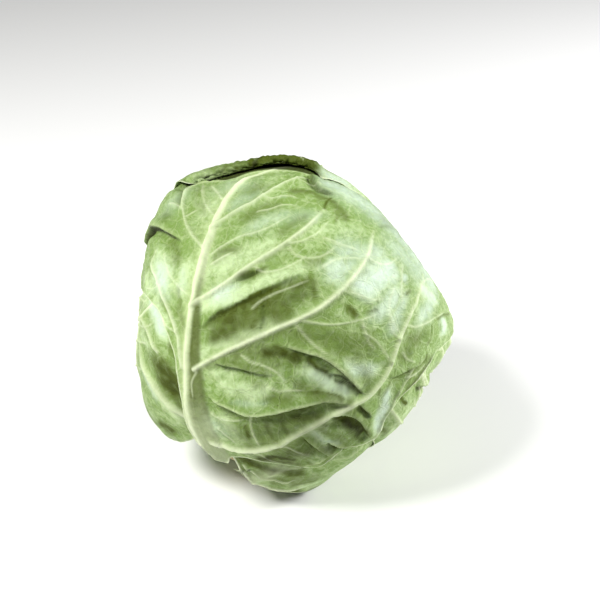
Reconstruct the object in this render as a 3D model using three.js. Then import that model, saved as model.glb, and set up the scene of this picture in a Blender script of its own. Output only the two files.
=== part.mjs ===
// A head of white cabbage, as cut: six outer leaves wrapped one over the other around a tight
// inner head, with the short cut stem between their bases.
//
// The frame: millimetres, +Z up, the origin in the middle of the small flat spot the head rests on,
// the broad front leaf facing -Y. The head's own axis, from its stem to its crown, leans.
//
// Every surface is worked out from one rounded head. A direction from the middle of the head is
// given by two angles: how far it is from the stem (0 is the stem, 180 the crown) and a longitude
// around the stem. Each leaf is drawn flat on a chart, in millimetres along the head's surface
// with y pointing away from the stem, and is then wrapped around the head at its own depth.
import * as THREE from "three";

// Driving dimensions, in millimetres and degrees
const HEAD_RADIUS = 82;
const CENTRE_HEIGHT = 79.4; // the middle of the head above the surface it rests on
const AXIS_LEAN = 33; // between the stem-to-crown axis and the vertical
const AXIS_HEADING = 45; // the way the crown leans, from +X towards +Y
const CHART_RADIUS = 84; // the mean radius that the leaf charts are drawn at
const LEAF_THICKNESS = 1.2;
const LAYER_STEP = 2.3; // from one leaf's outside to the outside of the next leaf in
const INNER_HEAD_GAP = 0.8; // the extra room between the innermost leaf and the inner head
const FULL_COVER = 10; // how far past its margin a leaf still holds the next ones down fully
const COVER_FADE = 26; // and the distance over which they come up again
const STEM_RADIUS = 13;
const STEM_TAPER = 1.5; // the stem narrows by this much towards the cut end
const STEM_INNER = 68; // distances from the middle of the head along the stem
const STEM_END = 77;
const STEM_WELL = 9; // the dip of the inner head where the stem leaves it
const STEM_WELL_SPREAD = 18;
const LEAF_COLUMNS = 20; // cells across and along each leaf
const LEAF_ROWS = 18;
const OUTLINE_STEPS = 400;
const COVER_STEPS = 72;
const HEAD_DETAIL = 9;

// Where the head stands out from a ball, or falls in: where (from the stem, longitude), over what
// angle, and by how much
const SWELLINGS = [
  { name: "right corner", at: [111, 130], spread: 15, height: 6 },
  { name: "upper right flat", at: [150, 137], spread: 20, height: -8 },
  { name: "crown", at: [159, -65], spread: 18, height: 5 },
  { name: "shoulder", at: [119, -55], spread: 24, height: 15 },
  { name: "left waist", at: [75, -51], spread: 14, height: -2.5 },
  { name: "lower left bulge", at: [33, -44], spread: 17, height: 8 },
  { name: "stem hollow", at: [7, -3], spread: 10, height: -3 },
  { name: "bottom bulge", at: [25, 117], spread: 17, height: 8 },
  { name: "lower right flat", at: [53, 124], spread: 14, height: -7 },
  { name: "right waist", at: [85, 127], spread: 16, height: -8 },
];

// The leaves from the outermost in. A chart is centred on a direction (from the stem, longitude),
// and an outline runs anticlockwise from its right-hand side.
const LEAVES = [
  {
    name: "back_leaf",
    colour: 0x9dbb74,
    chart: [90, -140],
    outline: [
      [96, 10], [112, 40], [122, 74], [101, 110], [62, 133], [15, 145], [-30, 134], [-68, 108],
      [-90, 72], [-98, 28], [-96, -18], [-86, -58], [-78, -90], [-60, -114], [-38, -123],
      [-16, -116], [0, -112], [16, -115], [30, -104], [50, -84], [68, -56], [82, -22],
    ],
  },
  {
    name: "front_leaf",
    colour: 0xafc888,
    chart: [88, 32],
    outline: [
      [116, 26], [131, 48], [126, 78], [106, 108], [70, 130], [22, 138], [-28, 132], [-66, 114],
      [-98, 88], [-118, 56], [-126, 24], [-120, 0], [-100, -10], [-80, -13], [-62, -14],
      [-50, -19], [-41, -32], [-35, -48], [-30, -68], [-26, -88], [-16, -106], [-2, -110],
      [8, -103], [10, -86], [26, -78], [54, -77], [68, -66], [74, -52], [90, -38], [108, -16],
      [114, 6],
    ],
  },
  {
    name: "right_leaf",
    colour: 0x94b468,
    chart: [90, 147.5],
    outline: [
      [100, 0], [98, 40], [78, 78], [40, 100], [0, 104], [-40, 98], [-78, 74], [-98, 36],
      [-102, -8], [-90, -40], [-60, -60], [-36, -78], [-24, -98], [-12, -113], [10, -113],
      [36, -110], [60, -96], [84, -66], [96, -34],
    ],
  },
  {
    name: "left_leaf",
    colour: 0xa6c27c,
    chart: [90, -75],
    outline: [
      [120, -10], [112, 30], [92, 66], [58, 96], [10, 112], [-40, 104], [-80, 78], [-100, 36],
      [-102, -10], [-90, -52], [-66, -88], [-34, -108], [-10, -113], [12, -113], [40, -118],
      [68, -114], [92, -96], [110, -66], [119, -38],
    ],
  },
  {
    name: "lower_leaf",
    colour: 0xb6cd8e,
    chart: [90, 62.5],
    outline: [
      [104, 0], [100, 44], [78, 84], [36, 104], [-14, 104], [-62, 88], [-94, 52], [-104, 6],
      [-98, -38], [-74, -70], [-46, -83], [-28, -87], [-12, -98], [-9, -112], [12, -113],
      [18, -104], [32, -90], [54, -84], [80, -62], [98, -32],
    ],
  },
  {
    name: "rear_leaf",
    colour: 0xa9c384,
    chart: [90, -160],
    outline: [
      [104, 0], [100, 46], [84, 88], [50, 120], [4, 134], [-46, 124], [-84, 92], [-102, 46],
      [-104, 0], [-94, -44], [-72, -84], [-38, -106], [-10, -113], [12, -113], [42, -104],
      [74, -82], [96, -44],
    ],
  },
];

const radians = THREE.MathUtils.degToRad;

// A unit vector in the head's own axes: +Z runs from the stem to the crown
function headDirection(fromStem, longitude) {
  const a = radians(fromStem);
  const l = radians(longitude);
  return new THREE.Vector3(
    Math.sin(a) * Math.cos(l),
    Math.sin(a) * Math.sin(l),
    -Math.cos(a),
  );
}

// The head's axes in the part's frame
function headAxes() {
  const heading = radians(AXIS_HEADING);
  const lean = radians(AXIS_LEAN);
  const crown = new THREE.Vector3(
    Math.sin(lean) * Math.cos(heading),
    Math.sin(lean) * Math.sin(heading),
    Math.cos(lean),
  );
  const front = new THREE.Vector3(
    -Math.cos(lean) * Math.cos(heading),
    -Math.cos(lean) * Math.sin(heading),
    Math.sin(lean),
  );
  const side = new THREE.Vector3().crossVectors(crown, front);
  return new THREE.Matrix4().makeBasis(front, side, crown);
}

const HEAD_TO_PART = headAxes();
const DOWN = new THREE.Vector3(0, 0, -1).transformDirection(HEAD_TO_PART.clone().transpose());
const SWELLING_DIRECTIONS = SWELLINGS.map((s) => headDirection(...s.at));

// A bump of the given height that fades with the angle from its middle
function bump(cosine, spread, height) {
  return height * Math.exp((cosine - 1) / (1 - Math.cos(radians(spread))));
}

// The distance from the middle of the head to the surface at a depth below its outside. The flat
// spot is a plane, and the layers above it are flat there too.
function surfaceRadius(direction, depth) {
  let radius = HEAD_RADIUS - depth;
  SWELLINGS.forEach((s, i) => {
    radius += bump(direction.dot(SWELLING_DIRECTIONS[i]), s.spread, s.height);
  });
  const downward = direction.dot(DOWN);
  return downward > 0 ? Math.min(radius, (CENTRE_HEIGHT - depth) / downward) : radius;
}

function surfacePoint(direction, depth) {
  return direction
    .clone()
    .multiplyScalar(surfaceRadius(direction, depth))
    .applyMatrix4(HEAD_TO_PART)
    .add(new THREE.Vector3(0, 0, CENTRE_HEIGHT));
}

// A leaf's chart: flat millimetres to a direction on the head, and back
class Chart {
  constructor([fromStem, longitude]) {
    this.middle = headDirection(fromStem, longitude);
    this.across = headDirection(90, longitude + 90);
    this.away = headDirection(fromStem + 90, longitude);
  }

  direction(x, y) {
    const distance = Math.hypot(x, y);
    const angle = distance / CHART_RADIUS;
    const reach = distance > 0 ? Math.sin(angle) / distance : 0;
    return this.middle
      .clone()
      .multiplyScalar(Math.cos(angle))
      .addScaledVector(this.across, x * reach)
      .addScaledVector(this.away, y * reach);
  }

  flat(direction) {
    const x = direction.dot(this.across);
    const y = direction.dot(this.away);
    const angle = Math.acos(THREE.MathUtils.clamp(direction.dot(this.middle), -1, 1));
    const scale = (angle * CHART_RADIUS) / Math.max(Math.hypot(x, y), 1e-9);
    return new THREE.Vector2(x * scale, y * scale);
  }
}

// A leaf's margin as evenly spaced points of a smooth closed curve through its outline
function marginPoints(outline, count) {
  const corners = outline.map(([x, y]) => new THREE.Vector3(x, y, 0));
  const curve = new THREE.CatmullRomCurve3(corners, true, "centripetal");
  curve.arcLengthDivisions = 4 * OUTLINE_STEPS;
  return curve.getSpacedPoints(count).slice(0, count);
}

// How far a chart point is outside a margin, negative inside it
function distanceOutside(point, margin) {
  let nearest = Infinity;
  let inside = false;
  margin.forEach((a, i) => {
    const b = margin[(i + 1) % margin.length];
    const edge = new THREE.Vector2(b.x - a.x, b.y - a.y);
    const away = new THREE.Vector2(point.x - a.x, point.y - a.y);
    const along = THREE.MathUtils.clamp(away.dot(edge) / edge.lengthSq(), 0, 1);
    nearest = Math.min(nearest, away.addScaledVector(edge, -along).length());
    const crosses = a.y > point.y !== b.y > point.y;
    if (crosses && point.x < a.x + ((point.y - a.y) / (b.y - a.y)) * (b.x - a.x)) {
      inside = !inside;
    }
  });
  return inside ? -nearest : nearest;
}

const SHEETS = LEAVES.map((leaf) => ({
  chart: new Chart(leaf.chart),
  margin: marginPoints(leaf.outline, OUTLINE_STEPS),
  coverMargin: marginPoints(leaf.outline, COVER_STEPS),
}));

// How deep the leaves outside the given layer hold its surface below the head's outside
function layerDepth(layer, direction) {
  let depth = 0;
  SHEETS.slice(0, layer).forEach((sheet) => {
    const outside = distanceOutside(sheet.chart.flat(direction), sheet.coverMargin);
    const fade = THREE.MathUtils.smoothstep(outside - FULL_COVER, 0, COVER_FADE);
    depth += LAYER_STEP * (1 - fade);
  });
  return depth;
}

// A square of side 2 mapped to a disc, and the disc stretched to the margin, so that cells run out
// to the margin evenly
function chartPoint(u, v, margin) {
  const x = u * Math.sqrt(1 - (v * v) / 2);
  const y = v * Math.sqrt(1 - (u * u) / 2);
  const turn = (Math.atan2(y, x) / (2 * Math.PI) + 1) % 1;
  const place = turn * margin.length;
  const first = Math.floor(place) % margin.length;
  const edge = margin[first].clone().lerp(margin[(first + 1) % margin.length], place % 1);
  return edge.multiplyScalar(Math.hypot(x, y));
}

function closedGeometry(positions, faces) {
  const geometry = new THREE.BufferGeometry();
  geometry.setAttribute("position", new THREE.Float32BufferAttribute(positions, 3));
  geometry.setIndex(faces);
  geometry.computeVertexNormals();
  return geometry;
}

// A leaf as one closed shell: an outer sheet, an inner sheet and the edge between them
function leafGeometry(layer) {
  const { chart, margin } = SHEETS[layer];
  const positions = [];
  const directions = [];
  for (let j = 0; j <= LEAF_ROWS; j++) {
    for (let i = 0; i <= LEAF_COLUMNS; i++) {
      const u = (2 * i) / LEAF_COLUMNS - 1;
      const v = (2 * j) / LEAF_ROWS - 1;
      const flat = chartPoint(u, v, margin);
      directions.push(chart.direction(flat.x, flat.y));
    }
  }
  const depths = directions.map((direction) => layerDepth(layer, direction));
  directions.forEach((direction, i) => {
    positions.push(...surfacePoint(direction, depths[i]));
  });
  directions.forEach((direction, i) => {
    positions.push(...surfacePoint(direction, depths[i] + LEAF_THICKNESS));
  });

  const columns = LEAF_COLUMNS + 1;
  const inner = directions.length;
  const faces = [];
  const quad = (a, b, c, d) => faces.push(a, b, c, a, c, d);
  for (let j = 0; j < LEAF_ROWS; j++) {
    for (let i = 0; i < LEAF_COLUMNS; i++) {
      const a = j * columns + i;
      const corners = [a, a + 1, a + columns + 1, a + columns];
      quad(...corners);
      quad(...corners.reverse().map((corner) => corner + inner));
    }
  }
  const rim = [];
  for (let i = 0; i < LEAF_COLUMNS; i++) rim.push(i);
  for (let j = 0; j < LEAF_ROWS; j++) rim.push(j * columns + LEAF_COLUMNS);
  for (let i = LEAF_COLUMNS; i > 0; i--) rim.push(LEAF_ROWS * columns + i);
  for (let j = LEAF_ROWS; j > 0; j--) rim.push(j * columns);
  rim.forEach((a, i) => {
    const b = rim[(i + 1) % rim.length];
    quad(a, a + inner, b + inner, b);
  });
  return closedGeometry(positions, faces);
}

// The tight inner head: a ball of even triangles drawn in to just under the leaves
function innerHeadGeometry() {
  const ball = new THREE.IcosahedronGeometry(1, HEAD_DETAIL);
  const position = ball.getAttribute("position");
  const stem = headDirection(0, 0);
  const index = new Map();
  const positions = [];
  const faces = [];
  for (let i = 0; i < position.count; i++) {
    const direction = new THREE.Vector3().fromBufferAttribute(position, i).normalize();
    const key = direction.toArray().map((value) => Math.round(value * 1e4)).join();
    if (!index.has(key)) {
      index.set(key, index.size);
      const well = bump(direction.dot(stem), STEM_WELL_SPREAD, STEM_WELL);
      const depth = layerDepth(LEAVES.length, direction) + INNER_HEAD_GAP + well;
      positions.push(...surfacePoint(direction, depth));
    }
    faces.push(index.get(key));
  }
  return closedGeometry(positions, faces);
}

// The stub of stem, turned about its own axis, with a rounded edge at the cut
function stemGeometry() {
  const length = STEM_END - STEM_INNER;
  const endRadius = STEM_RADIUS - STEM_TAPER;
  const profile = [
    new THREE.Vector2(0, 0),
    new THREE.Vector2(STEM_RADIUS, 0),
    new THREE.Vector2(endRadius, length - 1),
    new THREE.Vector2(endRadius - 1, length),
    new THREE.Vector2(0, length),
  ];
  return new THREE.LatheGeometry(profile, 28);
}

function leafMaterial(colour) {
  return new THREE.MeshStandardMaterial({ color: colour, roughness: 0.5, metalness: 0 });
}

const cabbage = new THREE.Group();

LEAVES.forEach((leaf, layer) => {
  const mesh = new THREE.Mesh(leafGeometry(layer), leafMaterial(leaf.colour));
  mesh.name = leaf.name;
  cabbage.add(mesh);
});

const innerHead = new THREE.Mesh(innerHeadGeometry(), leafMaterial(0xc9d8a4));
innerHead.name = "inner_head";
cabbage.add(innerHead);

const stem = new THREE.Mesh(
  stemGeometry(),
  new THREE.MeshStandardMaterial({ color: 0xe4e2c4, roughness: 0.7, metalness: 0 }),
);
stem.name = "cut_stem";
const stemAxis = headDirection(0, 0).transformDirection(HEAD_TO_PART);
stem.quaternion.setFromUnitVectors(new THREE.Vector3(0, 1, 0), stemAxis);
stem.position.set(0, 0, CENTRE_HEIGHT).addScaledVector(stemAxis, STEM_INNER);
cabbage.add(stem);

export default cabbage;
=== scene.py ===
"""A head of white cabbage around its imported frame, laid out as an add-on and run as a script.

The head is drawn in its own axes: a direction from its middle is an angle from the stem and a
longitude around it. Each leaf is drawn flat on a chart, in millimetres, y away from the stem, with
its midrib, side veins, folds and margin, and is then wrapped around the head over the next leaf.
"""
import math

import bmesh
import bpy
import numpy as np
from bpy.props import FloatProperty, FloatVectorProperty, IntProperty, PointerProperty
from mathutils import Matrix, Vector


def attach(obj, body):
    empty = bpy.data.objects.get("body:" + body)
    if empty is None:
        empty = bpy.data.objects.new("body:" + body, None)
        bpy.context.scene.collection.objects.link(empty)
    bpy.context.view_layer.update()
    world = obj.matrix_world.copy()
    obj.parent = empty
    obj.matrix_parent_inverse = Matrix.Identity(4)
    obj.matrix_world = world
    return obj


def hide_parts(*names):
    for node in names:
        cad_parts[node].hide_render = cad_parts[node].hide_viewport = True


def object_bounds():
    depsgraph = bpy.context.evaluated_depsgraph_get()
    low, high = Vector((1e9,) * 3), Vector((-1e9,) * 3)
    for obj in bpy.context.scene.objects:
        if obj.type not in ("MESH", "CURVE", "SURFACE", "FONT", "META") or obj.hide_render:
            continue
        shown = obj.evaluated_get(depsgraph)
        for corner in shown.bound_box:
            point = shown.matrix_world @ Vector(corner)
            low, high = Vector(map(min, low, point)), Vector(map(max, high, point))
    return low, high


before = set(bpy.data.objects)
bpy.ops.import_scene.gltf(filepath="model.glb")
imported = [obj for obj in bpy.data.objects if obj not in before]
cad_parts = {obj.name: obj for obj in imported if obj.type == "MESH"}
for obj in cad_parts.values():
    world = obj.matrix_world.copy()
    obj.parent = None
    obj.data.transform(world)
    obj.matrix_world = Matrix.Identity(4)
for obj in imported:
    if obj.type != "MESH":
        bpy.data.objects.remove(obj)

bl_info = {
    "name": "White Cabbage",
    "version": (1, 0, 0),
    "blender": (4, 5, 0),
    "location": "View3D > Sidebar > Cabbage",
    "description": "A head of white cabbage with wrapped, veined leaves and a cut stem",
    "category": "Add Mesh",
}

MM = 0.001  # the charts and reliefs are in millimetres, the objects in metres
CAD_LOW, CAD_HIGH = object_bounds()

# The head, with the same driving dimensions as its solids
HEAD_RADIUS = 82.0
CENTRE_HEIGHT = 79.4
HEAD_TALL = 162.04
HEAD_SCALE = (CAD_HIGH.z - CAD_LOW.z) / (HEAD_TALL * MM)
AXIS_LEAN = 33.0
AXIS_HEADING = 45.0
CHART_RADIUS = 84.0

# Where the head stands out from a ball or falls in: from the stem, longitude, spread, height
SWELLINGS = (
    (111, 130, 15, 6.0),
    (150, 137, 20, -8.0),
    (159, -65, 18, 5.0),
    (119, -55, 24, 15.0),
    (75, -51, 14, -2.5),
    (33, -44, 17, 8.0),
    (7, -3, 10, -3.0),
    (25, 117, 17, 8.0),
    (53, 124, 14, -7.0),
    (85, 127, 16, -8.0),
)

# The masks: rib colour, painted shade in creases, pale vein halos and painted highlights, painted light,
# painted shade and painted sheen
MASKS = ("vein", "crease", "pale", "light", "deep", "bloom")
MARGIN_STEPS = 480
# How much shade is painted on the flank of the front leaf's midrib, at places from its foot to its tip
FLANK_SHADE_PLACES = (0.0, 0.1, 0.2, 0.3, 0.4, 0.5, 0.58, 0.68)
FLANK_SHADE_SHARES = (0.75, 0.75, 0.75, 0.95, 1.0, 1.0, 0.6, 0.0)
# How far across it, as a share of its width, the painted shade on the flank starts
FLANK_SHADE_STARTS = (-0.1, -0.05, 0.0, 0.05, 0.15, 0.3, 0.4, 0.5)
FIELD_REACH = 168.0  # the charts' distance fields run this far each way
FIELD_STEP = 2.0
INNER_RIBS = 17  # ribs round the inner head
INNER_SHARE = 4  # the inner sheet of a leaf has a cell for this many of the outer sheet's
CURVE_STEP = 1.5  # between the points that a smooth curve is drawn with
FAR_OFF = 1e3  # a radius that nothing reaches
CEILING_CELL = 2.5  # the cells of the field that holds the leaves below a leaf down
COVER_DROP = 2.2  # how far a leaf lies beneath one that covers it
DEEP_COVER_DROP = 1.0  # and how much further away from that one's margin
LEVEL_CELLS = 14  # how many cells each way a leaf's broad swell is averaged over
MIDRIB_TIP = 118.0  # how far up its chart a plain leaf's midrib ends
SIDE_VEINS = 14  # on a plain leaf, by turns to its left and right
SIDE_VEIN_STEP = 9.0
SIDE_VEIN_STOP = 12.6  # how far inside the margin a side vein ends
BRANCH_GAP = 20.0  # between the thin veins that leave a side vein
BRANCH_LENGTH = 26.0
BRANCH_STEP = 5.0
BRANCH_STOP = 6.0  # how far inside the margin a branch ends

# The texture map: the outer sheet's share of its width, and where the inner sheet and the rim lie
MAP_OUTER_WIDE = 0.66
MAP_INNER_LEFT = 0.68
MAP_INNER_WIDE = 0.31
MAP_INNER_TALL = 0.5
MAP_RIM_LOW = 0.6
MAP_RIM_HIGH = 0.62

# The stage, in metres and degrees
FLOOR_REACH = 2.0
FLOOR_GAP = 0.0002
LIGHT_DISTANCE = 1.1
LIGHT_SIZE = 0.4
KEY_PLACE = (50.0, -150.0)  # above the horizon, and round from +X
FILL_PLACE = (25.0, 10.0)


def ramp(low, high, value):
    """0 below low, 1 above high, smooth between them."""
    t = np.clip((value - low) / (high - low), 0.0, 1.0)
    return t * t * (3.0 - 2.0 * t)


def bell(value, width):
    """1 at zero, fading to either side over about a width."""
    return np.exp(-((value / width) ** 2))


class Noise:
    """Smooth seeded waves over a plane, about -1 to 1, with hills of the given size."""

    def __init__(self, seed):
        rng = np.random.default_rng(seed)
        self.order = rng.permutation(256)
        turn = rng.uniform(0.0, 2.0 * math.pi, 256)
        self.slopes = np.stack([np.cos(turn), np.sin(turn)], 1)

    def corner(self, i, j, x, y):
        slope = self.slopes[self.order[(self.order[i & 255] + j) & 255]]
        return slope[..., 0] * x + slope[..., 1] * y

    def __call__(self, x, y, size):
        x, y = x / size, y / size
        i, j = np.floor(x).astype(int), np.floor(y).astype(int)
        fx, fy = x - i, y - j
        u = fx * fx * fx * (fx * (fx * 6 - 15) + 10)
        v = fy * fy * fy * (fy * (fy * 6 - 15) + 10)
        low = self.corner(i, j, fx, fy) * (1 - u) + self.corner(i + 1, j, fx - 1, fy) * u
        high = self.corner(i, j + 1, fx, fy - 1) * (1 - u)
        high = high + self.corner(i + 1, j + 1, fx - 1, fy - 1) * u
        return 1.5 * (low * (1 - v) + high * v)


def smooth_curve(points, step, closed=False):
    """Evenly spaced points of a smooth curve through the given ones."""
    p = np.array(points, float)
    if closed:
        p = np.concatenate([p[-1:], p, p[:2]])
    else:
        p = np.concatenate([[2 * p[0] - p[1]], p, [2 * p[-1] - p[-2]]])
    knots = np.concatenate([[0.0], np.cumsum(np.linalg.norm(np.diff(p, axis=0), axis=1) ** 0.5)])
    pieces = []
    for i in range(1, len(p) - 2):
        a, b, c = np.diff(knots[i - 1 : i + 3])
        u, v, w = np.diff(p[i - 1 : i + 3], axis=0)
        start = b * (u / a - (u + v) / (a + b) + v / b)
        end = b * (v / b - (v + w) / (b + c) + w / c)
        t = np.linspace(0.0, 1.0, 24, endpoint=False)[:, None]
        pieces.append(
            (2 * t**3 - 3 * t**2 + 1) * p[i]
            + (t**3 - 2 * t**2 + t) * start
            + (3 * t**2 - 2 * t**3) * p[i + 1]
            + (t**3 - t**2) * end
        )
    line = np.concatenate(pieces + [p[-2:-1]])
    along = np.concatenate([[0.0], np.cumsum(np.linalg.norm(np.diff(line, axis=0), axis=1))])
    count = step if closed else max(3, int(round(along[-1] / step)) + 1)
    places = np.linspace(0.0, along[-1], count, endpoint=not closed)
    return np.stack([np.interp(places, along, line[:, k]) for k in (0, 1)], 1)


def near_curve(curve, x, y, reach):
    """The points within reach of a curve: which they are, how far to its left each lies, and its
    place along the curve, from 0 to 1."""
    low, high = curve.min(0) - reach, curve.max(0) + reach
    inside = (x > low[0]) & (x < high[0]) & (y > low[1]) & (y < high[1])
    chosen = np.nonzero(inside)[0]
    start, edge = curve[:-1], np.diff(curve, axis=0)
    dx = x[chosen, None] - start[None, :, 0]
    dy = y[chosen, None] - start[None, :, 1]
    t = (dx * edge[:, 0] + dy * edge[:, 1]) / (edge**2).sum(1)
    t = np.clip(t, 0.0, 1.0)
    gap = (dx - t * edge[:, 0]) ** 2 + (dy - t * edge[:, 1]) ** 2
    nearest = gap.argmin(1)
    row = np.arange(len(chosen))
    distance = np.sqrt(gap[row, nearest])
    side = edge[nearest, 0] * dy[row, nearest] - edge[nearest, 1] * dx[row, nearest]
    place = (nearest + t[row, nearest]) / len(edge)
    normal = np.stack([-edge[nearest, 1], edge[nearest, 0]], 1)
    normal /= np.linalg.norm(normal, axis=1)[:, None]
    kept = distance < reach
    signed = np.where(side < 0, -distance, distance)
    return chosen[kept], signed[kept], place[kept], normal[kept]


def head_direction(from_stem, longitude):
    """A unit vector in the head's own axes, where +Z runs from the stem to the crown."""
    a, l = math.radians(from_stem), math.radians(longitude)
    return np.array([math.sin(a) * math.cos(l), math.sin(a) * math.sin(l), -math.cos(a)])


def head_axes():
    """The head's axes in the frame, one to a row."""
    lean, heading = math.radians(AXIS_LEAN), math.radians(AXIS_HEADING)
    level = np.array([math.cos(heading), math.sin(heading), 0.0])
    up = np.array([0.0, 0.0, 1.0])
    crown = math.sin(lean) * level + math.cos(lean) * up
    front = -math.cos(lean) * level + math.sin(lean) * up
    return np.stack([front, np.cross(crown, front), crown])


AXES = head_axes()
DOWN = -AXES[:, 2]


def head_radius(directions, depth):
    """How far from the middle the surface at a depth below the head's outside lies."""
    radius = HEAD_RADIUS - depth
    for from_stem, longitude, spread, height in SWELLINGS:
        cosine = directions @ head_direction(from_stem, longitude)
        radius = radius + height * np.exp((cosine - 1) / (1 - math.cos(math.radians(spread))))
    return radius


def floor_radius(directions, depth):
    """How far from the middle the floor lies, and far off for directions that miss it."""
    downward = directions @ DOWN
    reach = (CENTRE_HEIGHT - depth) / np.maximum(downward, 0.2)
    return np.where(downward > 0.2, reach, FAR_OFF)


def soft_lowest(a, b, softness):
    """The lower of two surfaces, with the crease between them rounded."""
    h = np.clip(0.5 + 0.5 * (b - a) / softness, 0.0, 1.0)
    return b * (1 - h) + a * h - softness * h * (1 - h)


def placed(directions, radius):
    """Points of the frame, in metres, at a radius from the middle of the head."""
    points = directions * radius[:, None] @ AXES
    points[:, 2] += CENTRE_HEIGHT
    return points * (MM * HEAD_SCALE)


def between(values, place):
    """A number, or the value at a place from 0 to 1 between the two numbers of a pair."""
    first, last = np.broadcast_to(values, 2)
    return first + (last - first) * place


def tapered(place, ends):
    """1 along a curve, falling to 0 over a share of it at either end."""
    start = ramp(0.0, ends[0], place) if ends[0] else 1.0
    return start * (ramp(0.0, ends[1], 1 - place) if ends[1] else 1.0)


class Chart:
    """A leaf's flat chart, centred on a direction of the head."""

    def __init__(self, from_stem, longitude):
        self.middle = head_direction(from_stem, longitude)
        self.across = head_direction(90, longitude + 90)
        self.away = head_direction(from_stem + 90, longitude)

    def directions(self, x, y):
        distance = np.hypot(x, y)
        angle = distance / CHART_RADIUS
        reach = np.sin(angle) / np.maximum(distance, 1e-9)
        flat = x[:, None] * self.across + y[:, None] * self.away
        return np.cos(angle)[:, None] * self.middle + reach[:, None] * flat

    def flat(self, directions):
        x, y = directions @ self.across, directions @ self.away
        angle = np.arccos(np.clip(directions @ self.middle, -1.0, 1.0))
        scale = angle * CHART_RADIUS / np.maximum(np.hypot(x, y), 1e-9)
        return x * scale, y * scale


class Field:
    """Values on an even grid over a chart, read between its points."""

    def __init__(self, values):
        self.values = values

    def __call__(self, x, y):
        most = self.values.shape[0] - 1.001
        u = np.clip((x + FIELD_REACH) / FIELD_STEP, 0, most)
        v = np.clip((y + FIELD_REACH) / FIELD_STEP, 0, most)
        i, j = u.astype(int), v.astype(int)
        fu, fv = u - i, v - j
        low = self.values[j, i] * (1 - fu) + self.values[j, i + 1] * fu
        high = self.values[j + 1, i] * (1 - fu) + self.values[j + 1, i + 1] * fu
        return low * (1 - fv) + high * fv


def margin_field(margin):
    """How far outside a leaf's margin each point of its chart is, negative inside."""
    side = np.arange(-FIELD_REACH, FIELD_REACH + FIELD_STEP / 2, FIELD_STEP)
    gx, gy = np.meshgrid(side, side)
    x, y = gx.ravel(), gy.ravel()
    coarse = margin[::3]
    a, b = coarse, np.roll(coarse, -1, 0)
    edge = b - a
    nearest = np.full(x.shape, np.inf)
    inside = np.zeros(x.shape, bool)
    for p, q, e in zip(a, b, edge):
        dx, dy = x - p[0], y - p[1]
        t = np.clip((dx * e[0] + dy * e[1]) / (e @ e), 0.0, 1.0)
        nearest = np.minimum(nearest, (dx - t * e[0]) ** 2 + (dy - t * e[1]) ** 2)
        if p[1] != q[1]:
            crosses = ((p[1] > y) != (q[1] > y)) & (x < p[0] + dy / (q[1] - p[1]) * e[0])
            inside ^= crosses
    signed = np.sqrt(nearest) * np.where(inside, -1.0, 1.0)
    return Field(signed.reshape(gx.shape))


def rim_ring(columns, rows):
    """Indices around the edge of a grid, anticlockwise."""
    wide = columns + 1
    ring = list(range(columns))
    ring += [j * wide + columns for j in range(rows)]
    ring += [rows * wide + i for i in range(columns, 0, -1)]
    ring += [j * wide for j in range(rows, 0, -1)]
    return ring


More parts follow.
